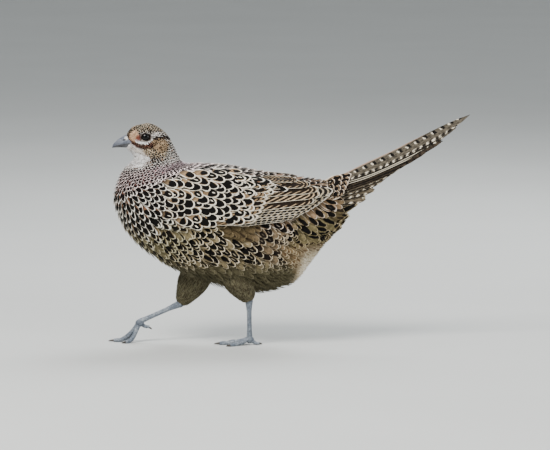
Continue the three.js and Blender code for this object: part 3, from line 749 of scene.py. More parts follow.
def body_looks(points, s, angle):
    """The looks of feathers that show at points of the body: later layers cover earlier ones."""
    x, y, z = points.T
    station = s * LAST_STATION
    down = np.abs(angle) / math.pi
    head = 1 - fade(station, 6.6, 7.4)
    layers = (
        # The body
        ("back", fade(station, 13.5, 15.5)),
        ("breast", fade(down, 0.26, 0.36) * (1 - fade(station, 14.0, 16.0))),
        ("flank", fade(down, 0.36, 0.5) * fade(station, 13.0, 14.2)),
        # darker, olive feathers low on the breast: partly painted shade and painted green light reflected
        # from the ground
        ("low_breast_painted_shade", fade(station - 3.0 * (1 - down), 11.2, 12.6)
         * fade(down, 0.5, 0.62) * (1 - fade(station, 13.6, 14.8))),
        ("flank_gap", spot(x, z, (-62, 158), (34, 12), -12)),
        ("flank_small", spot(x, z, (-20, 138), (30, 24), -10)),
        # the belly darkens towards the bottom: painted shade and painted green light reflected from the
        # ground
        ("belly_painted_shade", (1 - fade(z, 103, 121)) * fade(station, 11.8, 13.2)),
        ("rump_side", fade(down, 0.3, 0.42) * fade(x - 0.25 * (z - 170), 2, 12)
         * fade(z, 112, 132)),
        ("rump", (1 - fade(down, 0.3, 0.42)) * fade(station, 17.5, 19.5)),
        ("vent", (1 - fade(z, 128, 146)) * fade(x + 0.6 * (z - 110), -6, 8)),
        ("pale_vent", (1 - fade(z, 112, 142)) * fade(x - 0.35 * (z - 110), 6, 18)),
        ("flank_gap", fade(x, 60, 70)),
        # The neck
        ("neck_bars", 1 - fade(station + 1.2 * (down - 0.5), 9.9, 10.9)),
        ("mauve", (1 - fade(station, 8.8, 9.8)) * (1 - fade(down, 0.35, 0.6))),
        ("nape", 1 - fade(station, 7.4, 8.4)),
        ("throat", (1 - fade(station - 1.6 * (1 - down), 6.7, 7.5)) * fade(down, 0.52, 0.66)),
        ("cheek", spot(x, z, (-182, 264), (18, 10), -14) * (1 - fade(station, 7, 8))),
        # The head
        ("crown", head * fade(z, 287, 291)),
        ("crown", head * (1 - fade(np.abs(y), 3.5, 6.0)) * fade(z, 279, 284)),
        ("forehead", head * spot(x, z, (-214, 288), (7, 7), 40)),
        ("lores", head * spot(x, z, (-210.5, 283.0), (7.0, 8.6), 0)),
        ("ear", head * spot(x, z, (-175.0, 271.5), (11.5, 9.5), -25)),
        ("throat", head * stroke(x, z, [(-217, 266), (-203, 255), (-196, 249)], 8)),
        ("cheek", head * stroke(x, z, [(-213, 267), (-203, 262), (-192, 259)], 3) * 0.4),
        ("malar", head * stroke(x, z, MALAR, 2.6 + 0.05 * (x + 210), 1.0) * 0.95),
        ("forehead", head * stroke(x, z, [(-220.5, 279), (-218, 288), (-211, 294)], 2.6)),
        ("crescent", head * stroke(x, z, CRESCENT, 2.0, 0.5)),
        ("crescent", head * spot(x, z, (-181.0, 285.6), (4, 3.0), 20) * 0.4),
        ("red_spot", head * spot(x, z, (-204.6, 280.6), (3.2, 4.4), -20, 0.5) * 0.8),
        ("eye_line", head * stroke(x, z, EYE_LINE, 1.7, 0.5)),
    )
    rows = look_rows("mantle", len(x))
    for name, mask in layers:
        lay_over(rows, name, mask)
    return rows


print("looks:", len(LOOKS))

# %% [markdown]
# ## The skin
# Under the coat lies one closed skin over the head, neck, body, rump and thighs. The body's
# loft is drawn inwards by the coat's depth, the thighs and the rump's end are tubes sunk into
# it, and a voxel remesh fuses them, which is the quickest way to one form without a seam.
# On the face the coat is thinnest, and a hollow round each eye seats it in its socket.

# %% Legs and tubes
# x, distance from the middle plane and z of the hip, the hock and the knuckle of the toes
LEGS = {
    "left": [(-80, 24, 112), (-56, 20, 62), (-55.5, 8, 9)],
    "right": [(-116, 26, 112), (-149, 25, 52), (-205, 18, 28)],
}
SIDES = {"left": -1, "right": 1}
THIGH_RADII = [15, 21, 21, 12.5, 6.6]
THIGH_FLAT = 0.78
RUMP_END = [(33, 211, 5), (40, 211, 11), (54, 211, 15), (68, 212, 15.5), (84, 218, 12.5),
            (98, 228, 7.5), (106, 234, 3)]  # x, z and half height


def leg_points(side):
    return [np.array([x, SIDES[side] * y, z], float) for x, y, z in LEGS[side]]


def tube_frame(points, share):
    """The middle line's points, its way, and two directions across it."""
    centre = spline(points, share)
    way = unit(spline(points, share + 0.004) - spline(points, share - 0.004))
    level = np.stack([-way[..., 2], np.zeros(way.shape[:-1]), way[..., 0]], -1)
    side = unit(np.cross(level, way))
    return centre, way, side, np.cross(way, side)


def tube_point(points, radii, share, angle, flatness=1.0):
    centre, _, side, up = tube_frame(points, share)
    radius = spline(np.array(radii, float)[:, None], share)
    return (centre + side * radius * flatness * np.cos(angle)[..., None]
            + up * radius * np.sin(angle)[..., None])


def closed_grid(ring, rows, sides):
    """A closed surface of quads from ring(share, angle), with each end in one point."""
    share, angle = np.meshgrid(np.linspace(0, 1, rows + 1), full_turn(sides), indexing="ij")
    points = ring(share, angle)
    points[0], points[-1] = points[0].mean(0), points[-1].mean(0)
    return points.reshape(-1, 3), ring_faces(rows + 1, sides)


def tube(points, radii, rows=40, sides=20, flatness=1.0):
    return closed_grid(lambda share, angle: tube_point(points, radii, share, angle, flatness),
                       rows, sides)


def ball_grid(centre, radii, rows, sides, axes=(0, 1, 2)):
    """A closed ball with three radii. Its poles lie on the axis that comes third in axes."""
    def ring(share, angle):
        polar = share * math.pi
        way = np.stack([np.sin(polar) * np.cos(angle), np.sin(polar) * np.sin(angle),
                        np.cos(polar)], -1)
        return centre + np.asarray(radii) * way[..., list(axes)]
    return closed_grid(ring, rows, sides)


def join_grids(grids):
    points, faces, count = [], [], 0
    for grid_points, grid_faces in grids:
        points.append(grid_points)
        faces.append(grid_faces + count)
        count += len(grid_points)
    return np.vstack(points), np.vstack(faces)


def made_real(draft):
    """The plain mesh that a draft with its modifiers makes. The draft is thrown away."""
    mesh = bpy.data.meshes.new_from_object(
        draft.evaluated_get(bpy.context.evaluated_depsgraph_get()))
    draft.modifiers.clear()
    bpy.data.objects.remove(draft)
    return mesh


def fused(name, grids, voxel, rounds=2):
    """Closed grids that cross, fused by voxels of so many millimetres and then softened."""
    points, faces = join_grids(grids)
    draft = set_out(name, make_mesh(name, to_frame(points), faces))
    remesh = draft.modifiers.new("fuse", "REMESH")
    remesh.mode = "VOXEL"
    remesh.voxel_size = voxel * MM
    remesh.use_smooth_shade = True
    draft.modifiers.new("soften", "SMOOTH").iterations = rounds
    return made_real(draft)


def thigh_line(side):
    hip, hock, _ = leg_points(side)
    return [hip * 1.15 - hock * 0.15, hip, (hip + hock) / 2, hock * 0.86 + hip * 0.14,
            hock * 1.02 - hip * 0.02]


# %% The skin's own form
SKIN_DEPTH = [(0, 0.7), (4, 1.0), (6, 1.6), (8, 3.2), (10, 4.5), (14, 6.0), (18, 6.5), (21, 4.0),
              (23, 2.0)]  # station, depth of the coat over the skin
SOCKET_RADII, SOCKET_DEPTH = (7.5, 6.5), 2.2
THIGH_COAT = 2.2  # depth of the coat on the thighs


def skin_depth(s):
    return by_station(s, *zip(*SKIN_DEPTH))


def skin_ring(share, angle):
    points = body_point(share, angle)
    depth = skin_depth(share)
    side_on = np.hypot((points[..., 0] - EYE[0]) / SOCKET_RADII[0],
                       (points[..., 2] - EYE[2]) / SOCKET_RADII[1])
    socket = SOCKET_DEPTH * np.exp(-side_on ** 4) * (np.abs(points[..., 1]) > FACE_SIDE)
    return points - body_normal(share, angle) * (depth + socket)[..., None]


def make_skin():
    rump = np.array([(x, 0, z) for x, z, _ in RUMP_END], float)
    rump_radii = [radius - 1.5 if radius > 5 else radius * 0.6 for _, _, radius in RUMP_END]
    thigh_radii = [radius - THIGH_COAT for radius in THIGH_RADII]
    grids = [closed_grid(skin_ring, 150, 96), tube(rump, rump_radii, 30, 32, 0.7)]
    grids += [tube(thigh_line(side), thigh_radii, 30, 32, THIGH_FLAT) for side in SIDES]
    return fused("skin", grids, voxel=1.4, rounds=3)


skin_mesh = make_skin()
print("skin points:", len(skin_mesh.vertices))

# %% The skin's colours
MAP_ROWS, MAP_SIDES = 140, 96
map_s, map_angle = [values.ravel() for values in np.meshgrid(
    np.linspace(0.01, 0.99, MAP_ROWS), np.linspace(-math.pi, math.pi, MAP_SIDES),
    indexing="ij")]
map_points = body_point(map_s, map_angle)
body_map = KDTree(len(map_points))
for number, point in enumerate(map_points):
    body_map.insert(point, number)
body_map.balance()


def paint_skin(mesh):
    points = np.empty(len(mesh.vertices) * 3, np.float32)
    mesh.vertices.foreach_get("co", points)
    drawn = (points.reshape(-1, 3) - SLIDE) / MM
    nearest = np.array([body_map.find(point)[1] for point in drawn])
    rows = body_looks(drawn, map_s[nearest], map_angle[nearest])
    set_vectors(mesh, "ground", rows["ground"] * 0.45 + rows["edge"] * 0.3)


def skin_finish():
    finish = Finish("down_and_skin", Roughness=0.85)
    ground = finish.attribute("ground")
    down = finish.noise(600, 4.0, (1, 1, 0.5))
    dark = finish.mix(1.0, ground, tint(120, 112, 104), "MULTIPLY")
    finish.feed(Base_Color=finish.mix(down.ramp(0.3, 0.7), dark, ground))
    finish.bump(down, 0.0004)
    return finish


paint_skin(skin_mesh)
add_piece("skin", skin_mesh, skin_finish(),
          ["head", "neck", "torso", "thigh_left", "thigh_right"])

# %% [markdown]
# ## Contour feathers
# Feathers stand in staggered rows. A row follows one station, and the roots along it keep an
# even distance, so the rows close up on the nape and open out over the breast as real ones do.
# Each feather starts in the skin, lies over the next rows and ends at the outline of the
# solids. Tracts differ in spacing, length and lift. Which way feathers point is read off the
# bird at a few places, and every feather blends those that are near it.

# %% Rows of roots and the lines that feathers take
FACE_BLADE = Blade(2, 3, 0.5, 2.0, 0.6, 0.16, 0.05)
SMALL_BLADE = Blade(4, 4, 0.5, 2.0, 0.55, 0.2, 0.02)
COAT_BLADE = Blade(4, 6, 0.55, 2.0, 0.5, 0.24, 0.013)
LONG_BLADE = Blade(4, 9, 0.6, 1.8, 0.45, 0.26, 0.012)
PLUME_BLADE = Blade(2, 6, 0.3, 1.5, 0.6, 0.2, 0.02)
# x, z in the side view, and degrees below the level at which feathers point there
LIE = np.array([
    (-238, 205, 80), (-222, 232, 40), (-216, 200, 50), (-192, 200, 36), (-205, 165, 46),
    (-165, 185, 30), (-178, 140, 34), (-150, 215, 20), (-150, 246, 12), (-110, 200, 20),
    (-60, 200, 16), (-60, 238, 7), (20, 226, 6), (-125, 130, 34), (-80, 140, 38),
    (-50, 150, 40), (-20, 135, 44), (-10, 165, 52), (25, 185, 54), (55, 190, 44),
    (50, 215, 14), (25, 120, 34), (0, 100, 20), (-60, 88, 14), (-120, 90, 20)])
# The part of each flank that a folded wing hides: x and z of its lower and upper limit
UNDER_WING_LOWER = [(-150, 200), (-135, 188), (-110, 178), (-60, 176), (-20, 178), (30, 199),
                    (42, 212)]
UNDER_WING_UPPER = [(-150, 200), (-135, 212), (-110, 222), (-60, 226), (-20, 225), (30, 218),
                    (42, 212)]
BARE_RIM = (7.2, 6.5)  # half length and half height round the eye that feathers stay out of
CLOSE_ROWS = (0.75, 1.2)  # mm between rows: under the first only one root in three grows
MIDDLE = 1e-6  # radians: a root that is turned no further stands on the middle plane


def row_of_roots(s, across, offset):
    """Angles of evenly spaced roots round the body at one station."""
    fine = np.linspace(-math.pi, math.pi, 361)
    ring = body_point(np.full(fine.shape, s), fine)
    run = np.concatenate([[0], np.cumsum(np.linalg.norm(np.diff(ring, axis=0), axis=1))])
    count = max(int(run[-1] / across), 6)
    return np.interp((np.arange(count) + offset) / count * run[-1], run, fine)


def tract_roots(first, last, spacing, across, at, low, high):
    """s, angle and the distance to the next row, for all roots of a tract."""
    s, roots, number = first / LAST_STATION, [], 0
    while s < last / LAST_STATION:
        slope = np.linalg.norm(body_slopes(np.array([s]), np.array([at * math.pi]))[0])
        step = float(by_station(s, *zip(*spacing))) / slope
        angles = row_of_roots(s, float(by_station(s, *zip(*across))), 0.5 * (number % 2))
        around = np.abs(angles) / math.pi
        angles = angles[(around >= low) & (around <= high)]
        gaps = np.linalg.norm(body_slopes(np.full(len(angles), s), angles)[0], axis=-1) * step
        thin = np.where(gaps < CLOSE_ROWS[0], 3, np.where(gaps < CLOSE_ROWS[1], 2, 1))
        stays = number % thin == 0
        angles, gaps = angles[stays], (gaps * thin)[stays]
        roots.append(np.stack([np.full(len(angles), s), angles, gaps], 1))
        s += step
        number += 1
    return np.vstack(roots)


def lie_turn(s, angle):
    """How far feathers turn from the body's own way, to lie as they do on the bird."""
    place, normal = body_point(s, angle), body_normal(s, angle)
    far = np.hypot(place[:, :1] - LIE[:, 0], place[:, 2:] - LIE[:, 1])
    weight = (far ** 2 + 80) ** -1.5
    fall = np.radians((weight * LIE[:, 2]).sum(1) / weight.sum(1))
    want = np.stack([np.cos(fall), np.zeros(len(fall)), -np.sin(fall)], 1)
    way = unit(body_slopes(s, angle)[0])
    turn = np.arctan2((want * np.cross(normal, way)).sum(1), (want * way).sum(1))
    return turn * fade(s * LAST_STATION, 8.5, 10.5)


def body_lines(s, angle, length, heading, low, high, bow=1.3):
    """Lines over the body from roots, lifted from low to high off its surface."""
    along, around = body_slopes(s, angle)
    way, normal = unit(along), unit(np.cross(around, along))
    way = (way * np.cos(heading)[:, None] + np.cross(normal, way) * np.sin(heading)[:, None])
    e, f, g = [(a * b).sum(-1) for a, b in ((along, along), (along, around), (around, around))]
    p, q = (way * along).sum(-1), (way * around).sum(-1)
    spread = np.maximum(e * g - f * f, 1e-6)
    share = np.linspace(0, 1, 5)
    reach = length[:, None] * share
    all_s = np.clip(s[:, None] + ((g * p - f * q) / spread)[:, None] * reach, 0.012, 0.985)
    all_angle = angle[:, None] + ((e * q - f * p) / spread)[:, None] * reach
    normals = body_normal(all_s, all_angle)
    lift = low[:, None] + (high - low)[:, None] * share ** bow
    return body_point(all_s, all_angle) + normals * lift[..., None], normals


def near_eye(lines):
    """How far each line's nearest point is from an eye's middle, as a share of the bare rim."""
    flat = np.hypot((lines[..., 0] - EYE[0]) / BARE_RIM[0], (lines[..., 2] - EYE[2]) / BARE_RIM[1])
    return np.where(np.abs(lines[..., 1]) > FACE_SIDE, flat, 9).min(axis=1)


def under_wing(s, angle):
    x, y, z = body_point(s, angle).T
    lower = np.interp(x, *zip(*UNDER_WING_LOWER))
    upper = np.interp(x, *zip(*UNDER_WING_UPPER))
    return (z > lower) & (z < upper) & (np.abs(y) > 14)


def add_by_side(coats, blade, lines, normals, half, s, angle, looks, keep=True):
    """Adds feathers to the coat of their side. Those on the middle plane count as right."""
    left = angle > MIDDLE
    for side, coat in zip((left, ~left), coats):
        pick = side & keep
        coat.add(blade, lines[pick], normals[pick], half[pick], (s[pick], angle[pick]),
                 {key: value[pick] for key, value in looks.items()})


def tract(coats, blade, first, last, spacing, across, at=0.5, low=0.0, high=1.0, overlap=2.6,
          share=0.58, tips=0.3, shortest=3.0, wild=0.06, where=lambda x, z: x < 999, bow=1.3):
    """Feathers between two stations, and between the shares low and high of the way round.

    spacing and across are pairs of a station and the distance there between rows, which holds
    at the share `at` of the way round, and between the roots of a row. A feather is overlap
    rows long, and share of the distance across is half its width. tips is how far its tip
    stands off, wild is how much the ways differ, and where limits the tract in the side view.
    """
    rows = tract_roots(first, last, spacing, across, at, low, high).T
    place = body_point(rows[0], rows[1])
    rows = rows[:, ~under_wing(rows[0], rows[1]) & where(place[:, 0], place[:, 2])]
    s, angle, gap = rows
    broad = by_station(s, *zip(*across)) * share
    count = len(s)
    s = s + random.normal(0, 0.05, count) * gap / 400
    length = np.maximum(gap * overlap, shortest) * (1 + 0.12 * (random.random(count) - 0.5))
    turn = lie_turn(s, angle) + random.normal(0, wild, count)
    depth = -skin_depth(s) * 0.9
    lift = tips + random.random(count) * 0.4
    lines, normals = body_lines(s, angle, length, turn, depth, lift, bow)
    for shorter in (0.75, 0.55, 0.4):  # until no feather hangs over the eye
        close = near_eye(lines) < 1
        if close.any():
            length[close] *= shorter
            fresh = body_lines(s[close], angle[close], length[close], turn[close], depth[close],
                               lift[close], bow)
            lines[close], normals[close] = fresh
    looks = with_luck(body_looks(lines[:, 3], s, angle))
    half = broad * (1 + 0.1 * (random.random(count) - 0.5))
    add_by_side(coats, blade, lines, normals, half, s, angle, looks, near_eye(lines) >= 1)


# %% The tracts, from the vent to the face
head_coats = [Coat("coat_head_left"), Coat("coat_head_right")]
neck_coats = [Coat("coat_neck")] * 2
breast_coats = [Coat("coat_breast_left"), Coat("coat_breast_right")]
body_coats = [Coat("coat_body_left"), Coat("coat_body_right")]
belly_coats = [Coat("coat_belly")] * 2

# Fluffy vent and belly, then both parts of the flanks, the sides of the rump and its top
tract(belly_coats, PLUME_BLADE, 17.6, 21.2, [(17, 5)], [(17, 4.2)], at=0.85, low=0.6,
      overlap=3.6, tips=1.6, wild=0.3, share=0.62, where=lambda x, z: z < 158)
tract(belly_coats, PLUME_BLADE, 12.8, 19.0, [(13, 5)], [(13, 4.6)], at=0.85, low=0.56,
      overlap=3.4, tips=0.8, wild=0.22, share=0.7, where=lambda x, z: z < 122)
tract(body_coats, LONG_BLADE, 12.4, 18.6, [(12, 9.5), (19, 10.5)], [(12, 9), (19, 9.5)], at=0.5,
      low=0.36, high=0.8, overlap=2.6, tips=1.2, wild=0.1, share=0.62,
      where=lambda x, z: (z > 106) & (x < -44 + 0.5 * (z - 110)))
tract(body_coats, COAT_BLADE, 15.0, 19.4, [(12, 6.2)], [(12, 6.6)], at=0.5, low=0.42, high=0.86,
      overlap=2.7, tips=1.4, wild=0.2, share=0.62,
      where=lambda x, z: (x > -48 + 0.5 * (z - 110)) & (x < 8) & (z > 100) & (z < 182))
tract(body_coats, LONG_BLADE, 17.2, 20.6, [(17, 13), (21, 12)], [(17, 10.5), (21, 9)], at=0.4,
      low=0.3, high=0.84, overlap=2.6, tips=1.4, wild=0.1,
      where=lambda x, z: (x > 2) & (z > 142))
tract(body_coats, LONG_BLADE, 14.6, 20.2, [(14, 10), (21, 9)], [(14, 8.5), (21, 8)], at=0.1,
      high=0.38, overlap=2.8, tips=1.0)
# Breast, mantle, neck, crown, face and forehead
tract(breast_coats, COAT_BLADE, 10.2, 14.8, [(10, 5.2), (12, 6.2), (13, 7), (15, 8.2)],
      [(10, 6.8), (12, 7.8), (15, 9.4)], low=0.28, overlap=2.5, tips=0.8)
tract(body_coats, COAT_BLADE, 9.6, 15.2, [(9, 6), (12, 9.5), (15, 10.5)],
      [(9, 6), (12, 7.6), (15, 9)], at=0.1, high=0.36, overlap=2.6, tips=1.0)
tract(neck_coats, SMALL_BLADE, 7.4, 10.7, [(7.4, 2.9), (9, 3.5), (11, 5)],
      [(7.4, 3.6), (9, 4.6), (11, 6.6)], overlap=2.6, tips=0.35, wild=0.1)
tract(head_coats, SMALL_BLADE, 1.6, 7.8, [(1, 2.1), (3, 2.9), (8, 3.6)],
      [(1, 2.3), (3, 3.4), (8, 4.2)], at=0.1, high=0.34, overlap=2.5, tips=0.3, wild=0.14)
tract(head_coats, FACE_BLADE, 0.9, 7.6, [(1, 1.3), (4, 1.8), (8, 3.2)],
      [(1, 1.4), (4, 1.9), (8, 3.6)], low=0.22, wild=0.12, overlap=2.5, tips=0.1, shortest=3.4,
      where=lambda x, z: x > -216 - abs(z - 274.5) * 1.2)
tract(head_coats, FACE_BLADE, 0.75, 2.4, [(1, 1.7), (2.4, 2.4)], [(1, 2), (2.4, 2.6)], at=0.1,
      high=0.26, overlap=2.5, tips=0.2, shortest=3.4)

for coat in dict.fromkeys(head_coats + neck_coats + breast_coats + body_coats + belly_coats):
    coat.make(coat_finish, "plumage")

# %% [markdown]
# ## Thighs
# The shanks are feathered down to the hock with narrow, hair-like feathers that point along
# the leg, so they stand in rings round the same tube that the skin and the solids have.

# %% Feathers down the thighs
THIGH_BLADE = Blade(2, 5, 0.4, 1.5, 0.7, 0.2, 0.03)
THIGH_ROWS = np.arange(0.3, 0.99, 0.03)  # shares of the way from the hip to the hock
THIGH_PITCH, THIGH_HALF = 2.3, 1.5  # mm between feathers of a row, half a feather's width


def grow_thigh(side):
    coat = Coat(f"coat_thigh_{side}")
    line = thigh_line(side)
    length = float(np.linalg.norm(line[-1] - line[0]))
    radii = np.array(THIGH_RADII, float)[:, None]
    steps = np.linspace(0, 1, 5)
    for number, start in enumerate(THIGH_ROWS):
        radius = float(spline(radii, np.array([start]))[0, 0])
        count = max(int(2 * math.pi * radius / THIGH_PITCH), 10)
        angle = (np.arange(count) + 0.5 * (number % 2)) * 2 * math.pi / count
        angle = angle + random.normal(0, 0.08, count)
        reach = (10 + 5 * random.random(count)) * np.interp(start, [0.7, 1], [1, 0.6]) / length
        share = np.minimum(start + reach[:, None] * steps, 1.06)
        centre, _, across, up = tube_frame(line, share)
        out = (across * np.cos(angle)[:, None, None] * THIGH_FLAT
               + up * np.sin(angle)[:, None, None])
        lift = -1.8 + 2.4 * steps - 3.4 * steps * fade(start, 0.75, 1.0)
        lines = centre + out * (spline(radii, share) + lift[None, :, None])
        roots = (np.full(count, 0.3 + 0.4 * start), (angle + math.pi) % (2 * math.pi) - math.pi)
        coat.add(THIGH_BLADE, lines, out, np.full(count, THIGH_HALF), roots,
                 with_luck(look_rows("thigh", count)))
    coat.make(coat_finish, "plumage")


for side in SIDES:
    grow_thigh(side)

# %% [markdown]
# ## Folded wings
# A folded wing is a fan shut like a stack of cards: primaries lowest, secondaries over them and
# the tertials on top, with rows of coverts over their roots. Each quill runs between a place
# on a line of roots and a place on a line of tips, both drawn in the side view, and its lower
# edge is tilted out over the next quill below.

# %% Feathers that lie on the flank
WING_LOWER = [(-166, 194), (-150, 172), (-120, 162), (-90, 165), (-62, 170), (-45, 176)]
WING_UPPER = [(-166, 200), (-150, 219), (-120, 232), (-90, 234), (-62, 231), (-45, 224)]
QUILL_ROOTS = [(-94, 171), (-88, 188), (-80, 208)]
QUILL_TIPS = [(4, 180), (22, 187), (38, 196), (50, 204), (56, 210)]
TERTIAL_ROOTS = [(-84, 190), (-70, 208), (-50, 226)]
TERTIAL_TIPS = [(30, 199), (38, 208), (30, 216), (8, 223)]
COVERT_ROOTS = [(-128, 175), (-118, 198), (-100, 222)]
COVERT_TIPS = [(-46, 174), (-34, 196), (-22, 218)]
QUILLS, TERTIALS, COVERTS = 11, 5, 9  # great coverts: the small ones stand in rows
QUILL_TILT = 0.22
ROW_STEP, COVERT_PITCH = 0.068, 9.4  # share of the wing between rows, mm between their feathers
QUILL_BLADE = Blade(6, 16, 0.84, 2.2, 0.5, 0.35, 0.006, 0.35)
COVERT_BLADE = Blade(6, 8, 0.58, 2.0, 0.55, 0.3, 0.012)


def flank_lines(starts, ends, lifts, tilt):
    """Lines over the left flank between places in the side view, lifted at even steps."""
    share = np.linspace(0, 1, lifts.shape[1])[None, :, None]
    places = starts[:, None] * (1 - share) + ends[:, None] * share
    s, angle = flank_place(places[..., 0], places[..., 1])
    normals = body_normal(s, angle)
    upward = unit(body_point(s, angle - 0.02) - body_point(s, angle))
    lines = body_point(s, angle) + normals * lifts[..., None]
    return lines, unit(normals + upward * tilt), (s[:, 0], angle[:, 0])


def small_coverts(coat, mirrored):
    """Rows of coverts, each set by where its tips lie, from the wing's bend backwards."""
    along, up = [], []
    for number, place in enumerate(np.arange(0.0, 1.0, ROW_STEP)):
        lower, upper = spline(WING_LOWER, np.array([place])), spline(WING_UPPER, np.array([place]))
        count = max(int(np.linalg.norm(upper - lower) / COVERT_PITCH), 2)
        up.append((np.arange(count) + 0.3 + 0.5 * (number % 2)) / count)
        along.append(np.full(count, place))
    along, up = np.concatenate(along), np.concatenate(up)
    count = len(up)
    lower, upper = spline(WING_LOWER, along), spline(WING_UPPER, along)
    ends = lower + (upper - lower) * up[:, None] + random.normal(0, 1.3, (count, 2))
    fall = np.radians(np.interp(along, [0, 0.4, 1], [34, 24, 14]) - 6 * up)
    fall = fall + random.normal(0, 0.13, count)
    length = np.interp(along, [0, 0.4, 1], [16, 26, 31]) * (1 + 0.1 * random.random(count))
    starts = ends - np.stack([np.cos(fall), -np.sin(fall)], 1) * length[:, None]
    top = np.interp(along, [0, 0.15, 0.5, 1], [1.2, 2.8, 5.2, 7.2])[:, None]
    lifts = top + np.array([-9.5, -2.6, -0.9, 0.0])
    lifts[:, :1] = np.maximum(lifts[:, :1], -2.5)
    lines, normals, roots = flank_lines(starts, ends, lifts, 0.05)
    looks = look_rows("covert", count)
    lay_over(looks, "breast", 1 - fade(along, -0.05, 0.1))
    looks["shape"][:, 1] *= np.interp(along, [0.05, 0.25], [0.45, 1])
    looks["ground"] *= np.interp(along, [0.0, 0.3], [0.45, 1])[:, None]
    half = np.interp(along, [0, 0.3], [4.8, 6.6]) * (0.9 + 0.25 * random.random(count))
    coat.add(COVERT_BLADE, lines, normals, half, roots, with_luck(looks), mirrored)


def wing_fan(coat, mirrored, blade, roots_line, tips_line, half, lifts, tilt, name):
    """Feathers of one look from a line of roots to a line of tips, from the lowest up."""
    share = np.linspace(0, 1, len(half))
    wobble = random.normal(0, 0.5, (len(half), 2))
    lines, normals, roots = flank_lines(
        spline(roots_line, share), spline(tips_line, share) + wobble, lifts, tilt)
    coat.add(blade, lines, normals, half, roots, with_luck(look_rows(name, len(half))), mirrored)


def make_wing(side):
    coat, mirrored = Coat(f"wing_{side}_feathers"), side == "right"
    half = 7.0 + 1.4 * np.linspace(0, 1, QUILLS) ** 2
    lift = 0.9 + QUILL_TILT * half
    lifts = np.stack([np.ones(QUILLS), 0.9 + lift * 0.5, lift, lift], 1)
    wing_fan(coat, mirrored, QUILL_BLADE, QUILL_ROOTS, QUILL_TIPS, half, lifts, QUILL_TILT,
             "quill")
    wing_fan(coat, mirrored, QUILL_BLADE, TERTIAL_ROOTS, TERTIAL_TIPS, np.full(TERTIALS, 7.4),
             np.tile([1.0, 4.2, 4.6, 4.0], (TERTIALS, 1)), 0.14, "tertial")
    wing_fan(coat, mirrored, COVERT_BLADE, COVERT_ROOTS, COVERT_TIPS, np.full(COVERTS, 6.8),
             np.tile([1.0, 3.9, 5.4, 5.8], (COVERTS, 1)), 0.12, "great_covert")
    small_coverts(coat, mirrored)
    coat.make(coat_finish, "flight_feathers", [f"wing_{side}"])


for side in SIDES:
    make_wing(side)

# %% Scapulars over the wings' upper edges
scapular_coats = [Coat("coat_scapular_left"), Coat("coat_scapular_right")]
SCAPULAR_HALF = 6.2  # half a feather's width


def grow_scapulars():
    roots = tract_roots(11.0, 16.0, [(11, 10.5), (17, 11.5)], [(11, 9), (17, 9.5)], 0.28, 0.17,
                        0.36)
    edge = by_station(roots[:, 0], [11, 14, 17], [0.36, 0.33, 0.22])
    s, angle, _ = roots[np.abs(roots[:, 1]) / math.pi < edge].T
    count = len(s)
    length = by_station(s, [11, 13, 17], [26, 33, 40]) + 5 * random.random(count)
    turn = lie_turn(s, angle) + random.normal(0, 0.05, count)
    high = by_station(s, [11, 13, 16], [2.6, 5.4, 6.4]) + 0.4 * random.random(count)
    low = by_station(s, [11, 13], [-4.5, 0.4])
    lines, normals = body_lines(s, angle, length, turn, low, high, 0.8)
    looks = look_rows("scapular", count)
    lay_over(looks, "mantle", 1 - fade(s * LAST_STATION, 12, 13.5))
    looks["shape"][:, 1] *= by_station(s, [12, 14], [0.45, 1])
    add_by_side(scapular_coats, LONG_BLADE, lines, normals, np.full(count, SCAPULAR_HALF), s,
                angle, with_luck(looks))


grow_scapulars()
for coat in scapular_coats:
    coat.make(coat_finish, "plumage")

# %% [markdown]
# ## Tail
# Eighteen tail feathers lie folded into a steep roof: the middle pair runs to the tip, and each
# pair under it is shorter. A point of the roof is given by its run from the root, its way down
# from the ridge and its depth under the top, so that one function lays every feather.

# %% The tail's roof
TAIL_TIP = np.array([240.6, 0, 313.5])
RIDGE_START = np.array([38.0, 0, 217.0])
RIDGE_WAY = unit(TAIL_TIP - RIDGE_START)
RIDGE_UP = np.array([-RIDGE_WAY[2], 0, RIDGE_WAY[0]])
ROOF_PITCH = math.radians(53)
TAIL_PAIRS = 9
LAYER_STEP = 1.0  # mm of depth from one pair to the next
TAIL_HALF, TAIL_NARROWER = 10.6, 0.4  # half width of the first four pairs, mm less for each other
TAIL_TIPS = [(240.6, 313.5), (205, 277), (163, 251), (127, 226), (101, 199)]
TAIL_BLADE = Blade(6, 22, 0.6, 1.4, 0.42, 0.4, 0.006, 0.35)
TAIL_ROOT = np.array([0.93]), np.array([0.3])  # s and angle
LEFT = SIDES["left"]


def roof_out(side):
    """The way straight out of one side of the roof."""
    return RIDGE_UP * math.cos(ROOF_PITCH) + np.array([0, side * math.sin(ROOF_PITCH), 0])


def roof_point(side, run, down, depth):
    below = -RIDGE_UP * math.sin(ROOF_PITCH) + np.array([0, side * math.cos(ROOF_PITCH), 0])
    return RIDGE_START + RIDGE_WAY * run + below * down - roof_out(side) * depth


def roof_normals(side, count):
    return np.tile(roof_out(side), (1, count, 1))


def smooth_line(points, count=9):
    return spline(np.array(points), np.linspace(0, 1, count))


def tail_feather(pair):
    """The line and half width of a feather on the left of the tail."""
    depth = LAYER_STEP * pair
    tip = spline(TAIL_TIPS, np.array([pair / (TAIL_PAIRS - 1)]))[0]
    away = np.array([tip[0], 0, tip[1]]) - RIDGE_START
    run, under = away @ RIDGE_WAY, -(away @ RIDGE_UP)
    down = max((under - depth * math.cos(ROOF_PITCH)) / math.sin(ROOF_PITCH), 2.5)
    start = 6.5 + 2.0 * pair
    half = TAIL_HALF - TAIL_NARROWER * max(pair - 3, 0)
    bow = max((start + down) / 2, half + 1.2 + 1.5 * pair)
    return smooth_line([roof_point(LEFT, 0, start, depth), roof_point(LEFT, run * 0.5, bow, depth),
                        roof_point(LEFT, run, down, depth)]), half


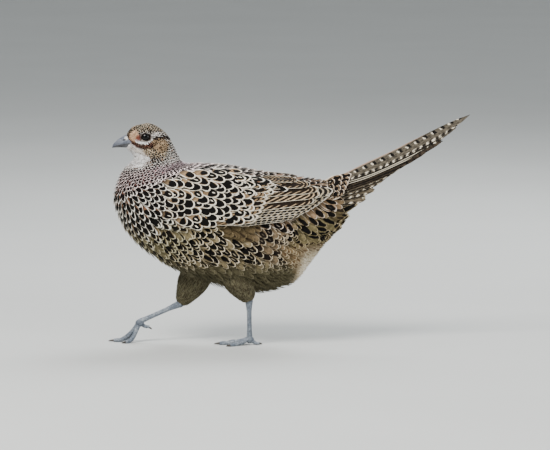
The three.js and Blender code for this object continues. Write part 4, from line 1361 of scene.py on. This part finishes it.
def tail_paint():
    """Warm upper edge, slanted black dashes, streaked middle, a pale line low down."""
    finish = Finish("tail_feathers", Roughness=0.8, Specular_IOR_Level=0.1)
    across, along = finish.feather_map()
    waves, _, _ = finish.parts(finish.attribute("form"))
    _, _, line = finish.parts(finish.attribute("marks"))
    tone, _, _ = finish.parts(finish.attribute("luck"))
    lower = across * 2 - 1
    place = finish.node("ShaderNodeCombineXYZ", {}, [lower * 7, along * waves * 0.35, tone * 9])
    streaks = finish.node("ShaderNodeTexNoise", {}, {
        "Vector": place, "Scale": 1.0, "Detail": 4.0}) - 0.5

    def band(start, end, soft=0.08):
        return lower.ramp(start - soft, start + soft) * (1 - lower.ramp(end - soft, end + soft))

    turn = along * waves - lower * 1.5 + streaks * 3.5
    dash, after = turn.wave(), (turn + 1.5).wave()
    small = (along * waves * 1.3 + lower * 3 + streaks * 9).wave()
    ground, dark = finish.attribute("ground"), finish.attribute("middle")
    pale = tint(208, 198, 178)
    colour = finish.mix(streaks.ramp(-0.06, 0.1), ground, finish.mix(0.65, ground, dark))
    colour = finish.mix(1 - lower.ramp(-0.92, -0.8), colour, finish.attribute("edge"))
    colour = finish.mix(after.ramp(0.75, 0.95) * band(-0.6, -0.22), colour, pale)
    colour = finish.mix(dash.ramp(0.4, 0.65) * band(-0.76, -0.12), colour, dark)
    colour = finish.mix(small.ramp(0.3, 0.6) * band(0.35, 0.72), colour, dark)
    colour = finish.mix((0 - small).ramp(0.7, 0.9) * band(0.35, 0.72)
                        * line.ramp(0.2, 0.4), colour, pale)
    colour = finish.mix(band(0.72, 0.88, 0.03), colour, dark)
    colour = finish.mix(lower.ramp(0.92, 0.95) * line.ramp(0.7, 0.8), colour, pale)
    finish.feed(Base_Color=colour)
    barbs = (along * 300 - abs(lower) * 38).wave()
    finish.bump(barbs * 0.3 + (1 - abs(lower).ramp(*SHAFT)), FEATHER_RELIEF)
    return finish


TAIL_BAR = 13.0  # mm from one dash to the next
RIGHT_LOWER = 0.2  # mm that the right half lies lower, so the two halves share no surface


def make_tail():
    coat = Coat("tail_feathers")
    for side in SIDES.values():
        for pair in reversed(range(TAIL_PAIRS)):
            line, half = tail_feather(pair)
            line = line + [0, 0, -RIGHT_LOWER if side > 0 else 0]
            # the pairs under the middle ones get a darker look: painted shade under the upper pairs
            name = "tail" if pair < 2 else "tail_under_painted_shade" if pair < 4 else "tail_outer"
            looks = look_rows(name, 1)
            looks["form"][:, 0] = 2 * math.pi * np.linalg.norm(line[-1] - line[0]) / TAIL_BAR
            coat.add(TAIL_BLADE, line[None], roof_normals(LEFT, len(line)), np.array([half]),
                     TAIL_ROOT, with_luck(looks), side > 0)
    coat.make(tail_paint(), "flight_feathers", ["tail"])


make_tail()

# %% Coverts above and below the tail
UPPER_COVERTS = [  # length, way down the roof, half width, from the lowest to the topmost
    (46, 7.5, 7.5), (42, 12, 7.5), (38, 17, 7.5), (33, 22, 7), (28, 27, 6.5),
    (34, 5.5, 7.5), (30, 12, 7.5), (26, 19, 7.5), (21, 26, 7),
    (22, 6.5, 7), (18, 14, 7), (14, 22, 7), (12, 5, 6.5), (9, 12, 6.5), (6, 19, 6.5)]
# root x and z, tip x and z, how far the row spreads from the middle, feathers on a side
UNDER_COVERTS = [
    ((64, 214), (116, 230), 4, 2), ((62, 205), (116, 219), 7, 3), ((56, 196), (113, 208), 9, 3),
    ((54, 186), (102, 199), 12, 3), ((50, 174), (91, 190), 15, 4), ((44, 162), (80, 174), 18, 4),
    ((38, 149), (70, 159), 21, 4), ((30, 137), (56, 146), 24, 5)]


def tail_coverts():
    coat = Coat("coat_tail_coverts")
    for side in SIDES.values():
        for order, (length, down, half) in enumerate(UPPER_COVERTS):
            lift = 0.9 + 0.22 * order
            line = smooth_line([
                roof_point(side, min(-10, length - 28), down * 0.7, 4),
                roof_point(side, length * 0.35, down, -lift),
                roof_point(side, length * 0.7, down, -lift - 0.3),
                roof_point(side, length, down, -lift)])
            coat.add(LONG_BLADE, line[None], roof_normals(side, len(line)), np.array([half]),
                     (np.array([0.9]), np.array([-side * 0.4 * down / 27])),
                     with_luck(look_rows("tail_covert", 1)))
        for (root_x, root_z), (tip_x, tip_z), spread, count in UNDER_COVERTS:
            for order in range(count):
                out = side * spread * (order + 0.5) / count
                rise = 0.02 * out ** 2
                root = np.array([root_x, out * 0.8, root_z + rise])
                tip = np.array([tip_x - rise * 0.6, out, tip_z + rise])
                line = smooth_line([root, (root + tip) / 2 + [2.5, 0, -2.5], tip])
                face = unit(np.array([0.45, out / 14, -0.8]))
                coat.add(LONG_BLADE, line[None], np.tile(face, (1, len(line), 1)),
                         np.array([5.6]), (np.array([0.86]), np.array([-side * 2.6])),
                         with_luck(look_rows("undertail", 1)))
    coat.make(coat_finish, "plumage")


tail_coverts()

# %% [markdown]
# ## Eyes and lids
# The eyeball keeps the solid's size, in a finer mesh. Its dark iris and pupil are rings round
# the eye's axis. The lids are a thin rim of bare skin that rises from the face to the ball.

# %% Eyeballs
PUPIL_RIM = (0.0042, 0.0046)  # metres from the eye's axis to the pupil's rim


def eye_finish():
    finish = Finish("eye", Roughness=0.05, Specular_IOR_Level=0.2)
    iris = finish.mix(finish.noise(900), tint(9, 6, 4), tint(22, 13, 8))
    finish.feed(Base_Color=finish.mix(
        finish.far_from(EYE).ramp(*PUPIL_RIM), tint(4, 4, 5), iris))
    return finish


def closed_mesh(name, points, faces):
    """A mesh of a closed grid in drawing millimetres, with its faces turned out."""
    mesh = make_mesh(name, to_frame(points), faces)
    work = bmesh.new()
    work.from_mesh(mesh)
    bmesh.ops.remove_doubles(work, verts=work.verts, dist=1e-7)
    bmesh.ops.recalc_face_normals(work, faces=work.faces)
    work.to_mesh(mesh)
    work.free()
    return mesh


eye_shine = eye_finish()
for side in SIDES:
    ball = ball_grid(EYE * [1, SIDES[side], 1], EYE_RADII, 32, 48, (0, 2, 1))
    add_piece(f"eyeball_{side}", closed_mesh(f"eyeball_{side}", *ball), eye_shine,
              [f"eye_{side}"])

# %% Lids
LID_OPENING = (6.3, 5.4)  # half length and half height of the eye's opening
LID_WIDTH, LID_RISE, LID_SLANT = 0.9, 0.55, 0.4


def lid_finish():
    finish = Finish("lid_skin", Roughness=0.5)
    grain = finish.noise(1500)
    finish.feed(Base_Color=finish.mix(grain, tint(30, 22, 18), tint(58, 44, 37)))
    finish.bump(grain, 0.0002)
    return finish


def lid(side):
    """A low rounded rim round the opening, a little higher towards the rear corner."""
    steps, sides = 72, 10
    turn, angle = np.meshgrid(full_turn(steps), full_turn(sides), indexing="ij")
    across = np.cos(angle) * LID_WIDTH / 2
    x = EYE[0] + (LID_OPENING[0] + LID_WIDTH / 2 + across) * np.cos(turn)
    z = (EYE[2] + (LID_OPENING[1] + LID_WIDTH / 2 + across) * np.sin(turn)
         + LID_SLANT * np.cos(turn))
    off = ((x - EYE[0]) / EYE_RADII[0] / 1.2) ** 2 + ((z - EYE[2]) / EYE_RADII[2] / 1.2) ** 2
    inner = (1 - np.minimum(off, 0.98)) ** 0.5
    y = EYE[1] + EYE_RADII[1] * inner * 1.02 + LID_RISE * np.sin(angle)
    points = np.stack([x, SIDES[side] * y, z], -1).reshape(-1, 3)
    return closed_mesh(f"lid_{side}", points, ring_faces(steps + 1, sides) % (steps * sides))


lid_skin = lid_finish()
for side in SIDES:
    add_piece(f"lid_{side}", lid(side), lid_skin)

# %% [markdown]
# ## Bill
# The bill is one horn sheath, parted along the line of the mouth into two closed halves, with a
# thin gap between them. The upper half carries a soft swelling over each nostril, with the slit
# of the nostril under it. It is lofted like the body, so it needs no cutting.

# %% The two halves of the bill
# ridge x, ridge z, floor x, floor z, half width
BILL_ROWS = np.array([
    [-240.8, 266.9, -240.8, 266.3, 0.3],
    [-239.4, 271.2, -239.7, 266.8, 1.8],
    [-236.6, 274.6, -236.9, 267.2, 3.1],
    [-231.5, 278.8, -231.5, 267.3, 4.4],
    [-225.5, 282.6, -225.5, 267.2, 5.8],
    [-220.5, 284.6, -220.5, 267.1, 8.0],
    [-217.0, 282.5, -217.0, 268.5, 10.0],
    [-214.0, 281.0, -214.0, 269.5, 10.4],
    [-213.6, 276.0, -213.6, 275.0, 0.4],
])
MOUTH = [(-246, 261.5), (-239.6, 267.3), (-236, 269.9), (-231, 271.4), (-224, 272.6),
         (-211.5, 274.6)]
NOSTRIL = (-224.2, 277.8)  # x, z of the middle of the slit
NOSTRIL_SLANT, NOSTRIL_DEPTH = 0.3, 1.3
SLIT_RADII, SLIT_SHADE_PAINT = (2.2, 0.6), (0.0023, 0.0006)  # of the hollow in mm, of its paint in metres
SWELLING, SWELLING_HEIGHT, SWELLING_RADII = (-221.6, 280.2), 0.9, (3.4, 2.3)
PALATE_BOW = {True: 0.5, False: -0.3}  # mm that the upper and the lower half's palate bends
MOUTH_GAP = 0.08  # mm that each half keeps from the line of the mouth


def mouth_height(x):
    line = spline(MOUTH, np.linspace(0, 1, 60))
    return np.interp(x, line[:, 0], line[:, 1])


def bill_ring(share, up, side):
    """Points of the sheath: up runs from 1 at the ridge to -1 at the floor."""
    row = spline(BILL_ROWS, share)
    x = (row[..., 0] + row[..., 2]) / 2 + (row[..., 0] - row[..., 2]) / 2 * up
    z = (row[..., 1] + row[..., 3]) / 2 + (row[..., 1] - row[..., 3]) / 2 * up
    y = row[..., 4] * np.sqrt(np.maximum(1 - up ** 2, 0)) * side
    return np.stack([x, y, z], -1)


def mouth_up(share):
    """Where each ring meets the line of the mouth."""
    ups = np.linspace(-1, 1, 121)
    meets = []
    for value in share:
        points = bill_ring(np.full(ups.shape, value), ups, 1)
        meets.append(np.interp(0, points[:, 2] - mouth_height(points[:, 0]), ups))
    return np.array(meets)


def bill_half(name, shares, upper):
    """A half of the bill: an arc over the ridge or the floor, closed by a slightly bent palate."""
    meet = mouth_up(shares)[:, None]
    turn = np.linspace(-1, 1, 89)[None]
    far = np.arccos(meet) if upper else math.pi - np.arccos(meet)
    angle = turn * far
    up = np.cos(angle) if upper else -np.cos(angle)
    arc = bill_ring(np.broadcast_to(shares[:, None], up.shape), up, np.sign(turn))
    if upper:
        swell = np.exp(-((arc[..., 0] - SWELLING[0]) / SWELLING_RADII[0]) ** 2
                       - ((arc[..., 2] - SWELLING[1]) / SWELLING_RADII[1]) ** 2)
        lean = arc[..., 2] - NOSTRIL[1] - NOSTRIL_SLANT * (arc[..., 0] - NOSTRIL[0])
        slit = np.exp(-((arc[..., 0] - NOSTRIL[0]) / SLIT_RADII[0]) ** 4
                      - (lean / SLIT_RADII[1]) ** 2)
        arc[..., 1] += np.sign(arc[..., 1]) * (
            SWELLING_HEIGHT * swell - NOSTRIL_DEPTH * slit)
    back = np.linspace(1, -1, 9)[None, 1:-1]
    edge = arc[:, -1:]
    palate = edge * [1, 0, 1] + edge * [0, 1, 0] * back[..., None]
    palate[..., 2] += PALATE_BOW[upper] * (1 - back ** 2)
    ring = np.concatenate([arc, palate], 1)
    ring[..., 2] += MOUTH_GAP if upper else -MOUTH_GAP
    ring[0], ring[-1] = ring[0].mean(0), ring[-1].mean(0)
    return closed_mesh(name, ring.reshape(-1, 3), ring_faces(*ring.shape[:2]))


def horn_finish(name, pale, dark, ridge):
    """Streaked horn with a dark tip, with its swelling and nostril where the bill has them."""
    finish = Finish(name, Roughness=0.42, Coat_Weight=0.1, Coat_Roughness=0.3)
    streak = finish.noise(420, 4.0, (0.4, 1, 1.8))
    colour = finish.mix(streak.ramp(0.3, 0.75), dark, pale)
    colour = finish.mix(1 - finish.far_from(SWELLING).ramp(0.0012, 0.0036), colour, ridge)
    x, _, z = finish.parts(finish.place())
    # The nostril's slit is painted dark: painted shade inside the opening.
    nostril = to_frame([NOSTRIL[0], 0, NOSTRIL[1]])
    ahead, above = x - float(nostril[0]), z - float(nostril[2])
    slit = ((ahead / SLIT_SHADE_PAINT[0]) ** 2
            + ((above - ahead * NOSTRIL_SLANT) / SLIT_SHADE_PAINT[1]) ** 2)
    colour = finish.mix(1 - slit.ramp(0.7, 1.3), colour, tint(24, 22, 24))
    tip = finish.far_from(BILL_ROWS[0, :2])
    colour = finish.mix(1 - tip.ramp(0.001, 0.009), colour, dark)
    finish.feed(Base_Color=colour)
    finish.bump(streak, 0.0003)
    return finish


upper_horn = horn_finish("upper_horn", tint(116, 121, 132), tint(72, 76, 87),
                         tint(190, 187, 182))
lower_horn = horn_finish("lower_horn", tint(84, 85, 90), tint(48, 48, 52), tint(84, 85, 90))
for half, shares, horn in (("upper", np.linspace(0, 1, 90), upper_horn),
                           ("lower", np.linspace(0.1, 1, 60), lower_horn)):
    name = f"bill_{half}"
    add_piece(f"{name}_horn", bill_half(name, shares, half == "upper"), horn, [name])

# %% [markdown]
# ## Legs and feet
# The bare shank and the toes are tubes fused by a voxel remesh. Overlapping plates ring the
# shank and the toes from end to end. A plate repeats along a path, so Geometry Nodes set a
# short closed cone on each step of a curve and size it by the curve's own radius.

# %% Tree that sets plates along a curve
def plate_tree():
    tree = bpy.data.node_groups.new("leg_plates", "GeometryNodeTree")
    for name, kind in (("Path", "Geometry"), ("Step", "Float"), ("Flare", "Float"),
                       ("Finish", "Material")):
        tree.interface.new_socket(name=name, in_out="INPUT", socket_type=f"NodeSocket{kind}")
    tree.interface.new_socket(name="Plates", in_out="OUTPUT", socket_type="NodeSocketGeometry")

    def node(kind, settings, values):
        made = tree.nodes.new(kind)
        for setting, value in settings.items():
            setattr(made, setting, value)
        for socket, value in values.items():
            if isinstance(value, bpy.types.NodeSocket):
                tree.links.new(value, made.inputs[socket])
            else:
                made.inputs[socket].default_value = value
        return made

    given = tree.nodes.new("NodeGroupInput").outputs
    steps = node("GeometryNodeResampleCurve", {"mode": "LENGTH"}, {
        "Curve": given["Path"], "Length": given["Step"]})
    depth = node("ShaderNodeMath", {"operation": "MULTIPLY"}, {0: given["Step"], 1: 1.25})
    ring = node("GeometryNodeMeshCone", {"fill_type": "NGON"}, {
        "Vertices": 18, "Radius Top": 0.97, "Radius Bottom": given["Flare"],
        "Depth": depth.outputs[0]})
    tangent = node("GeometryNodeInputTangent", {}, {})
    turn = node("FunctionNodeAlignRotationToVector", {"axis": "Z"}, {
        "Vector": tangent.outputs[0]})
    radius = node("GeometryNodeInputRadius", {}, {})
    size = node("ShaderNodeCombineXYZ", {}, {
        0: radius.outputs[0], 1: radius.outputs[0], 2: 1.0})
    plates = node("GeometryNodeInstanceOnPoints", {}, {
        "Points": steps.outputs[0], "Instance": ring.outputs["Mesh"],
        "Rotation": turn.outputs[0], "Scale": size.outputs[0]})
    real = node("GeometryNodeRealizeInstances", {}, {"Geometry": plates.outputs[0]})
    finished = node("GeometryNodeSetMaterial", {}, {
        "Geometry": real.outputs[0], "Material": given["Finish"]})
    last = tree.nodes.new("NodeGroupOutput")
    tree.links.new(finished.outputs[0], last.inputs[0])
    return tree


PLATE_TREE = plate_tree()


def set_plates(name, paths, step):
    """Plates along several paths, as one plain mesh. A path is points with their radii."""
    curve = bpy.data.curves.new(name, "CURVE")
    curve.dimensions = "3D"
    for points, radii in paths:
        line = curve.splines.new("POLY")
        line.points.add(len(points) - 1)
        for knot, place, radius in zip(line.points, to_frame(points), radii):
            knot.co = (*place, 1)
            knot.radius = radius * MM
    draft = set_out(name, curve)
    modifier = draft.modifiers.new("plates", "NODES")
    modifier.node_group = PLATE_TREE
    values = {"Step": step * MM, "Flare": PLATE_FLARE, "Finish": leg_plates.material}
    for item in PLATE_TREE.interface.items_tree:
        if item.name in values:
            modifier[item.identifier] = values[item.name]
    return made_real(draft)


def leg_finish(name, scale, dark, pale):
    finish = Finish(name, Roughness=0.5)
    cells = finish.node("ShaderNodeTexVoronoi", {"feature": "DISTANCE_TO_EDGE"}, {
        "Vector": finish.place(), "Scale": scale})
    patchy = finish.noise(120)
    skin_colour = finish.mix(patchy.ramp(0.3, 0.7), dark, pale)
    finish.feed(Base_Color=finish.mix(1 - cells.ramp(0.0, 0.09), skin_colour, tint(62, 68, 78)))
    finish.bump(cells.ramp(0.0, 0.2), 0.0003)
    return finish


leg_skin = leg_finish("leg_skin", 620, tint(84, 93, 106), tint(122, 130, 139))
leg_plates = leg_finish("leg_plates", 300, tint(98, 108, 121), tint(146, 153, 160))
print("leg plates tree:", len(PLATE_TREE.nodes), "nodes")

# %% Shanks, toes and claws
# number, turn from straight ahead, length, thickness, claw, rise of the root
TOES = [(1, 170, 13, 2.3, 6, 3), (2, -38, 31, 2.7, 8, 0), (3, 2, 40, 3.0, 9, 0),
        (4, 36, 32, 2.6, 8, 0)]
TOE_FALL = np.array([1, 0.56, 0.21, 0.03, 0, 0])
TOE_RUN = np.array([0, 0.25, 0.5, 0.74, 0.87, 1])
TOE_SHAPE = np.array([1.15, 1, 1.08, 0.9, 0.98, 0.7])
# Places along the shank: over the hock as a share of the thigh, under it as one of the shank
SHANK_PLACES = [0.1, 0, -0.08, -0.3, -0.75, -0.97]
SHANK_RADII = [3, 4.8, 4.6, 3.2, 3.1, 3.9]
SHANK_FRONT = np.array([-0.45, 0, 0])  # how far the plates stand forward
KNUCKLE_RADII = (6.0, 5.4, 5.2)
CLAW_RUN = np.array([-2.5, 0, 0.35, 0.7, 1])
CLAW_DROP = [0, 0, 0, 0.3, 0.9]
CLAW_RADII = [1.2, 1.7, 1.4, 1.0, 0.35]
SHANK_FLAT = 0.85
PLATE_FLARE = 1.1  # radius of a plate's lower rim over the radius of the limb
TOE_STEP, SHANK_STEP = 2.2, 3.2  # mm from plate to plate
TOE_PLATES_UP = np.array([0, 0, 0.16])


def toe_line(knuckle, side, toe):
    """A toe's line, its heading and its claw's slope. A raised foot's first toe hangs."""
    number, turn, length, thick, _, rise = toe
    heading = math.radians(turn) * side
    forward = np.array([-math.cos(heading), math.sin(heading), 0])
    start = knuckle + [0, 0, rise * 0.5 - 1]
    hangs = number == 1 and knuckle[2] > 15
    drop = length * 0.6 if hangs else start[2] - thick * 0.72 - (0.6 if number == 1 else 0)
    reach = math.sqrt(max(length ** 2 - (0.85 * drop) ** 2, 30))
    line = start + forward * TOE_RUN[:, None] * reach
    line[:, 2] = start[2] - drop * (1 - TOE_FALL)
    return line, forward, -0.5 if hangs else 0.0


def above_floor(mesh):
    for vertex in mesh.vertices:
        vertex.co.z = max(vertex.co.z, 0.0)
    return mesh


def make_leg(side, claw_finish):
    hip, hock, knuckle = leg_points(side)
    shank = np.array([hock + (hip - hock) * place if place > 0
                      else hock - (knuckle - hock) * place for place in SHANK_PLACES])
    grids, paths = [], []
    centre = knuckle * [1, 1, 0] + [0, 0, max(knuckle[2] - 2, 5)]
    grids.append(ball_grid(centre, KNUCKLE_RADII, 16, 24))
    for toe in TOES:
        line, forward, slope = toe_line(knuckle, SIDES[side], toe)
        radii = TOE_SHAPE * toe[3]
        grids.append(tube(line, radii))
        share = np.linspace(0.05, 0.93, 24)
        paths.append((spline(line, share) + TOE_PLATES_UP,
                      spline(radii[:, None], share)[:, 0] * 0.98))
        run = CLAW_RUN * [1, 1, toe[4], toe[4], toe[4]]
        claw = line[-1] + forward * run[:, None]
        claw[:, 2] += run * slope - CLAW_DROP
        name = f"claw_{side}_{toe[0]}"
        mesh = above_floor(fused(name, [tube(claw, CLAW_RADII, 24, 16)], 0.22))
        add_piece(f"{name}_horn", mesh, claw_finish, [name])
    add_piece(f"foot_{side}_skin", above_floor(fused("foot", grids, 0.55)), leg_skin,
              [f"foot_{side}"])
    plates = set_plates("foot_plates", paths, TOE_STEP)
    add_piece(f"foot_{side}_plates", above_floor(plates), leg_plates)
    bare = above_floor(fused("shank", [tube(shank, SHANK_RADII, 60, 28, SHANK_FLAT)], 0.6))
    add_piece(f"shank_{side}_skin", bare, leg_skin, [f"tarsus_{side}"])
    share = np.linspace(0.22, 0.97, 50)
    radii = spline(np.array(SHANK_RADII)[:, None], share)[:, 0] * 0.93
    plates = set_plates("shank_plates", [(spline(shank, share) + SHANK_FRONT, radii)],
                        SHANK_STEP)
    add_piece(f"shank_{side}_plates", plates, leg_plates)


claw_horn = horn_finish("claw_horn", tint(66, 58, 52), tint(36, 30, 26), tint(60, 52, 46))
for side in SIDES:
    make_leg(side, claw_horn)
